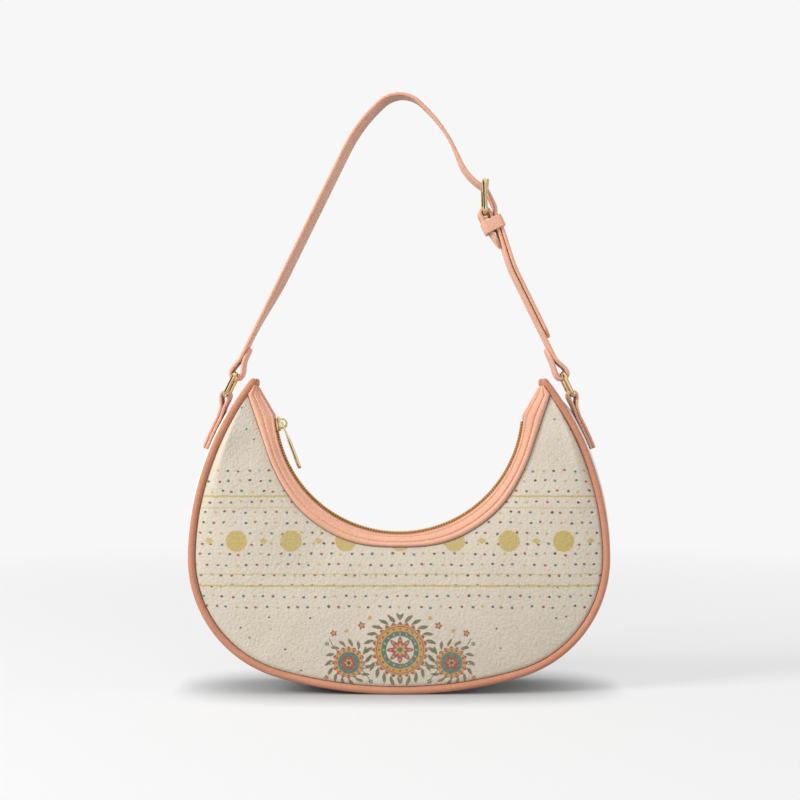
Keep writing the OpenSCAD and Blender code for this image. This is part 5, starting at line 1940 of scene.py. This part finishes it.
@dataclass
class Studio:
    """Camera, pale floor, soft light and the white ground."""

    eye: tuple[float, float, float] = (0.66, -1080.0, 195.1)
    lens: float = 71.19
    white: float = 0.93
    lift: float = 0.57
    ambient: float = 0.36
    key: float = 38.5
    fill: float = 7.5
    side: float = 13.0

    FLOOR_SEEN, FLOOR_FELT = 0.34, 0.45
    MIDDLE = Vector((0.0, 0.0, 0.15))

    def camera(self) -> None:
        """A level camera at the photograph's distance and height."""
        data = bpy.data.cameras.new("camera")
        data.lens, data.sensor_width, data.clip_start = self.lens, 36.0, 0.02
        camera = bpy.data.objects.new("camera", data)
        camera.location = Vector(self.eye) * MM
        camera.rotation_euler = (math.pi / 2, 0.0, 0.0)
        bpy.context.scene.collection.objects.link(camera)
        bpy.context.scene.camera = camera

    def seen(self, tree: NodeTree) -> Field:
        """White where the ground is seen or mirrored, and the plain room light elsewhere."""
        rays = made(tree, "LightPath", {}).outputs
        seen = Field(tree, rays["Is Camera Ray"])
        for kind in ("Glossy", "Transmission"):
            seen = seen.done("MAXIMUM", Field(tree, rays[f"Is {kind} Ray"]))
        return seen.done("MULTIPLY_ADD", self.white - self.ambient, self.ambient)

    def world(self) -> None:
        """An even white room."""
        world = bpy.data.worlds.new("room")
        bpy.context.scene.world = world
        world.use_nodes = True
        fed(world.node_tree.nodes["Background"], {"Color": WHITE, "Strength": self.seen(world.node_tree)})

    def floor(self) -> None:
        """A pale floor that fades into the white ground away from the bag, with painted shade where the bag
        stands on it.
        """
        bm = bmesh.new()
        bmesh.ops.create_grid(bm, x_segments=2, y_segments=2, size=6.0)
        bmesh.ops.translate(bm, vec=(0, 0, -0.0002), verts=bm.verts)
        floor = laid_down(bm, "floor")
        floor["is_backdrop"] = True
        paint = bpy.data.materials.new("floor_paint")
        paint.use_nodes = True
        tree = paint.node_tree
        shader = tree.nodes["Principled BSDF"]
        seen = Field(tree, made(tree, "LightPath", {}).outputs["Is Camera Ray"])
        # Painted shade: the floor's glow is dimmed by ambient occlusion, squared, so a contact shadow is
        # painted under the bag
        open_sky = Field(tree, made(tree, "AmbientOcclusion", {"Distance": 0.05}).outputs["AO"])
        albedo = seen.done("MULTIPLY_ADD", self.FLOOR_SEEN - self.FLOOR_FELT, self.FLOOR_FELT)
        fed(shader, {"Base Color": albedo, "Roughness": 0.9, "Specular IOR Level": 0.1,
                     "Emission Strength": seen * open_sky * open_sky * self.lift,
                     "Emission Color": WHITE})
        glow = made(tree, "Emission", {"Strength": self.seen(tree)})
        reach = made(tree, "VectorMath", {0: Finish.place(tree)}, operation="LENGTH")
        away = Field(tree, reach.outputs["Value"]).span(0.35, 1.1)
        mix = made(tree, "MixShader", {0: away, 1: shader.outputs[0], 2: glow.outputs[0]})
        fed(tree.nodes["Material Output"], {"Surface": mix.outputs[0]})
        floor.data.materials.append(paint)

    def lamp(self, name: str, place: Spot, size: float, power: float) -> None:
        """A soft square lamp that looks at the middle of the bag."""
        data = bpy.data.lights.new(name, "AREA")
        data.size, data.energy = size, power
        lamp = bpy.data.objects.new(name, data)
        lamp.location = place
        lamp.rotation_euler = (self.MIDDLE - Vector(place)).to_track_quat("-Z", "Y").to_euler()
        lamp.visible_glossy = False
        bpy.context.scene.collection.objects.link(lamp)

    def flag(self, name: str, place: Spot, wide: float, high: float) -> None:
        """A dark card that only polished metal mirrors."""
        bm = bmesh.new()
        bmesh.ops.create_grid(bm, x_segments=1, y_segments=1, size=0.5)
        bmesh.ops.scale(bm, vec=(wide, high, 1.0), verts=bm.verts)
        look = (Vector((0.0, 0.0, 0.2)) - Vector(place)).to_track_quat("Z", "Y").to_matrix().to_4x4()
        bmesh.ops.transform(bm, matrix=Matrix.Translation(place) @ look, verts=bm.verts)
        card = laid_down(bm, name)
        card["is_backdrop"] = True
        for ray in ("camera", "diffuse", "shadow", "transmission", "volume_scatter"):
            setattr(card, f"visible_{ray}", False)
        paint = bpy.data.materials.get("flag_paint") or bpy.data.materials.new("flag_paint")
        paint.use_nodes = True
        fed(paint.node_tree.nodes["Principled BSDF"],
            {"Base Color": (0.03, 0.02, 0.015, 1), "Roughness": 1.0})
        card.data.materials.append(paint)

    def build(self) -> None:
        """Sets up the studio."""
        bpy.context.scene.view_settings.view_transform = "Standard"
        self.camera()
        self.world()
        self.floor()
        self.lamp("key_lamp", (-1.6, -0.85, 1.05), 0.7, self.key)
        self.lamp("fill_lamp", (0.2, -1.9, 1.0), 1.4, self.fill)
        self.lamp("side_lamp", (1.9, -0.2, 0.45), 1.0, self.side)
        self.flag("flag_left", (-1.1, -0.75, 0.55), 1.9, 2.2)
        self.flag("flag_right", (1.25, -0.5, 0.25), 0.6, 1.1)
        self.flag("flag_front", (0.3, -1.7, 0.8), 0.3, 0.6)


def main() -> list:
    """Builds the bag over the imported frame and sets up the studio.

    Returns:
        The frame's own box, lowest and highest corner.
    """
    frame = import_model()
    start = [list(corner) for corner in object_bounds()]
    outline, mouth, strand = Outline(), Mouth(), Strand()
    for assembly in (Shell(outline, mouth), Collar(outline, mouth), Zip(mouth), Carrier(outline, strand),
                     Buckle(strand), Inside(outline, mouth, frame["nodes"]), Studio()):
        log.info("building the %s", type(assembly).__name__.lower())
        assembly.build()
    return start


if __name__ == "__main__":
    logging.basicConfig(level=logging.INFO, format="%(name)s: %(message)s")
    cad_box = main()
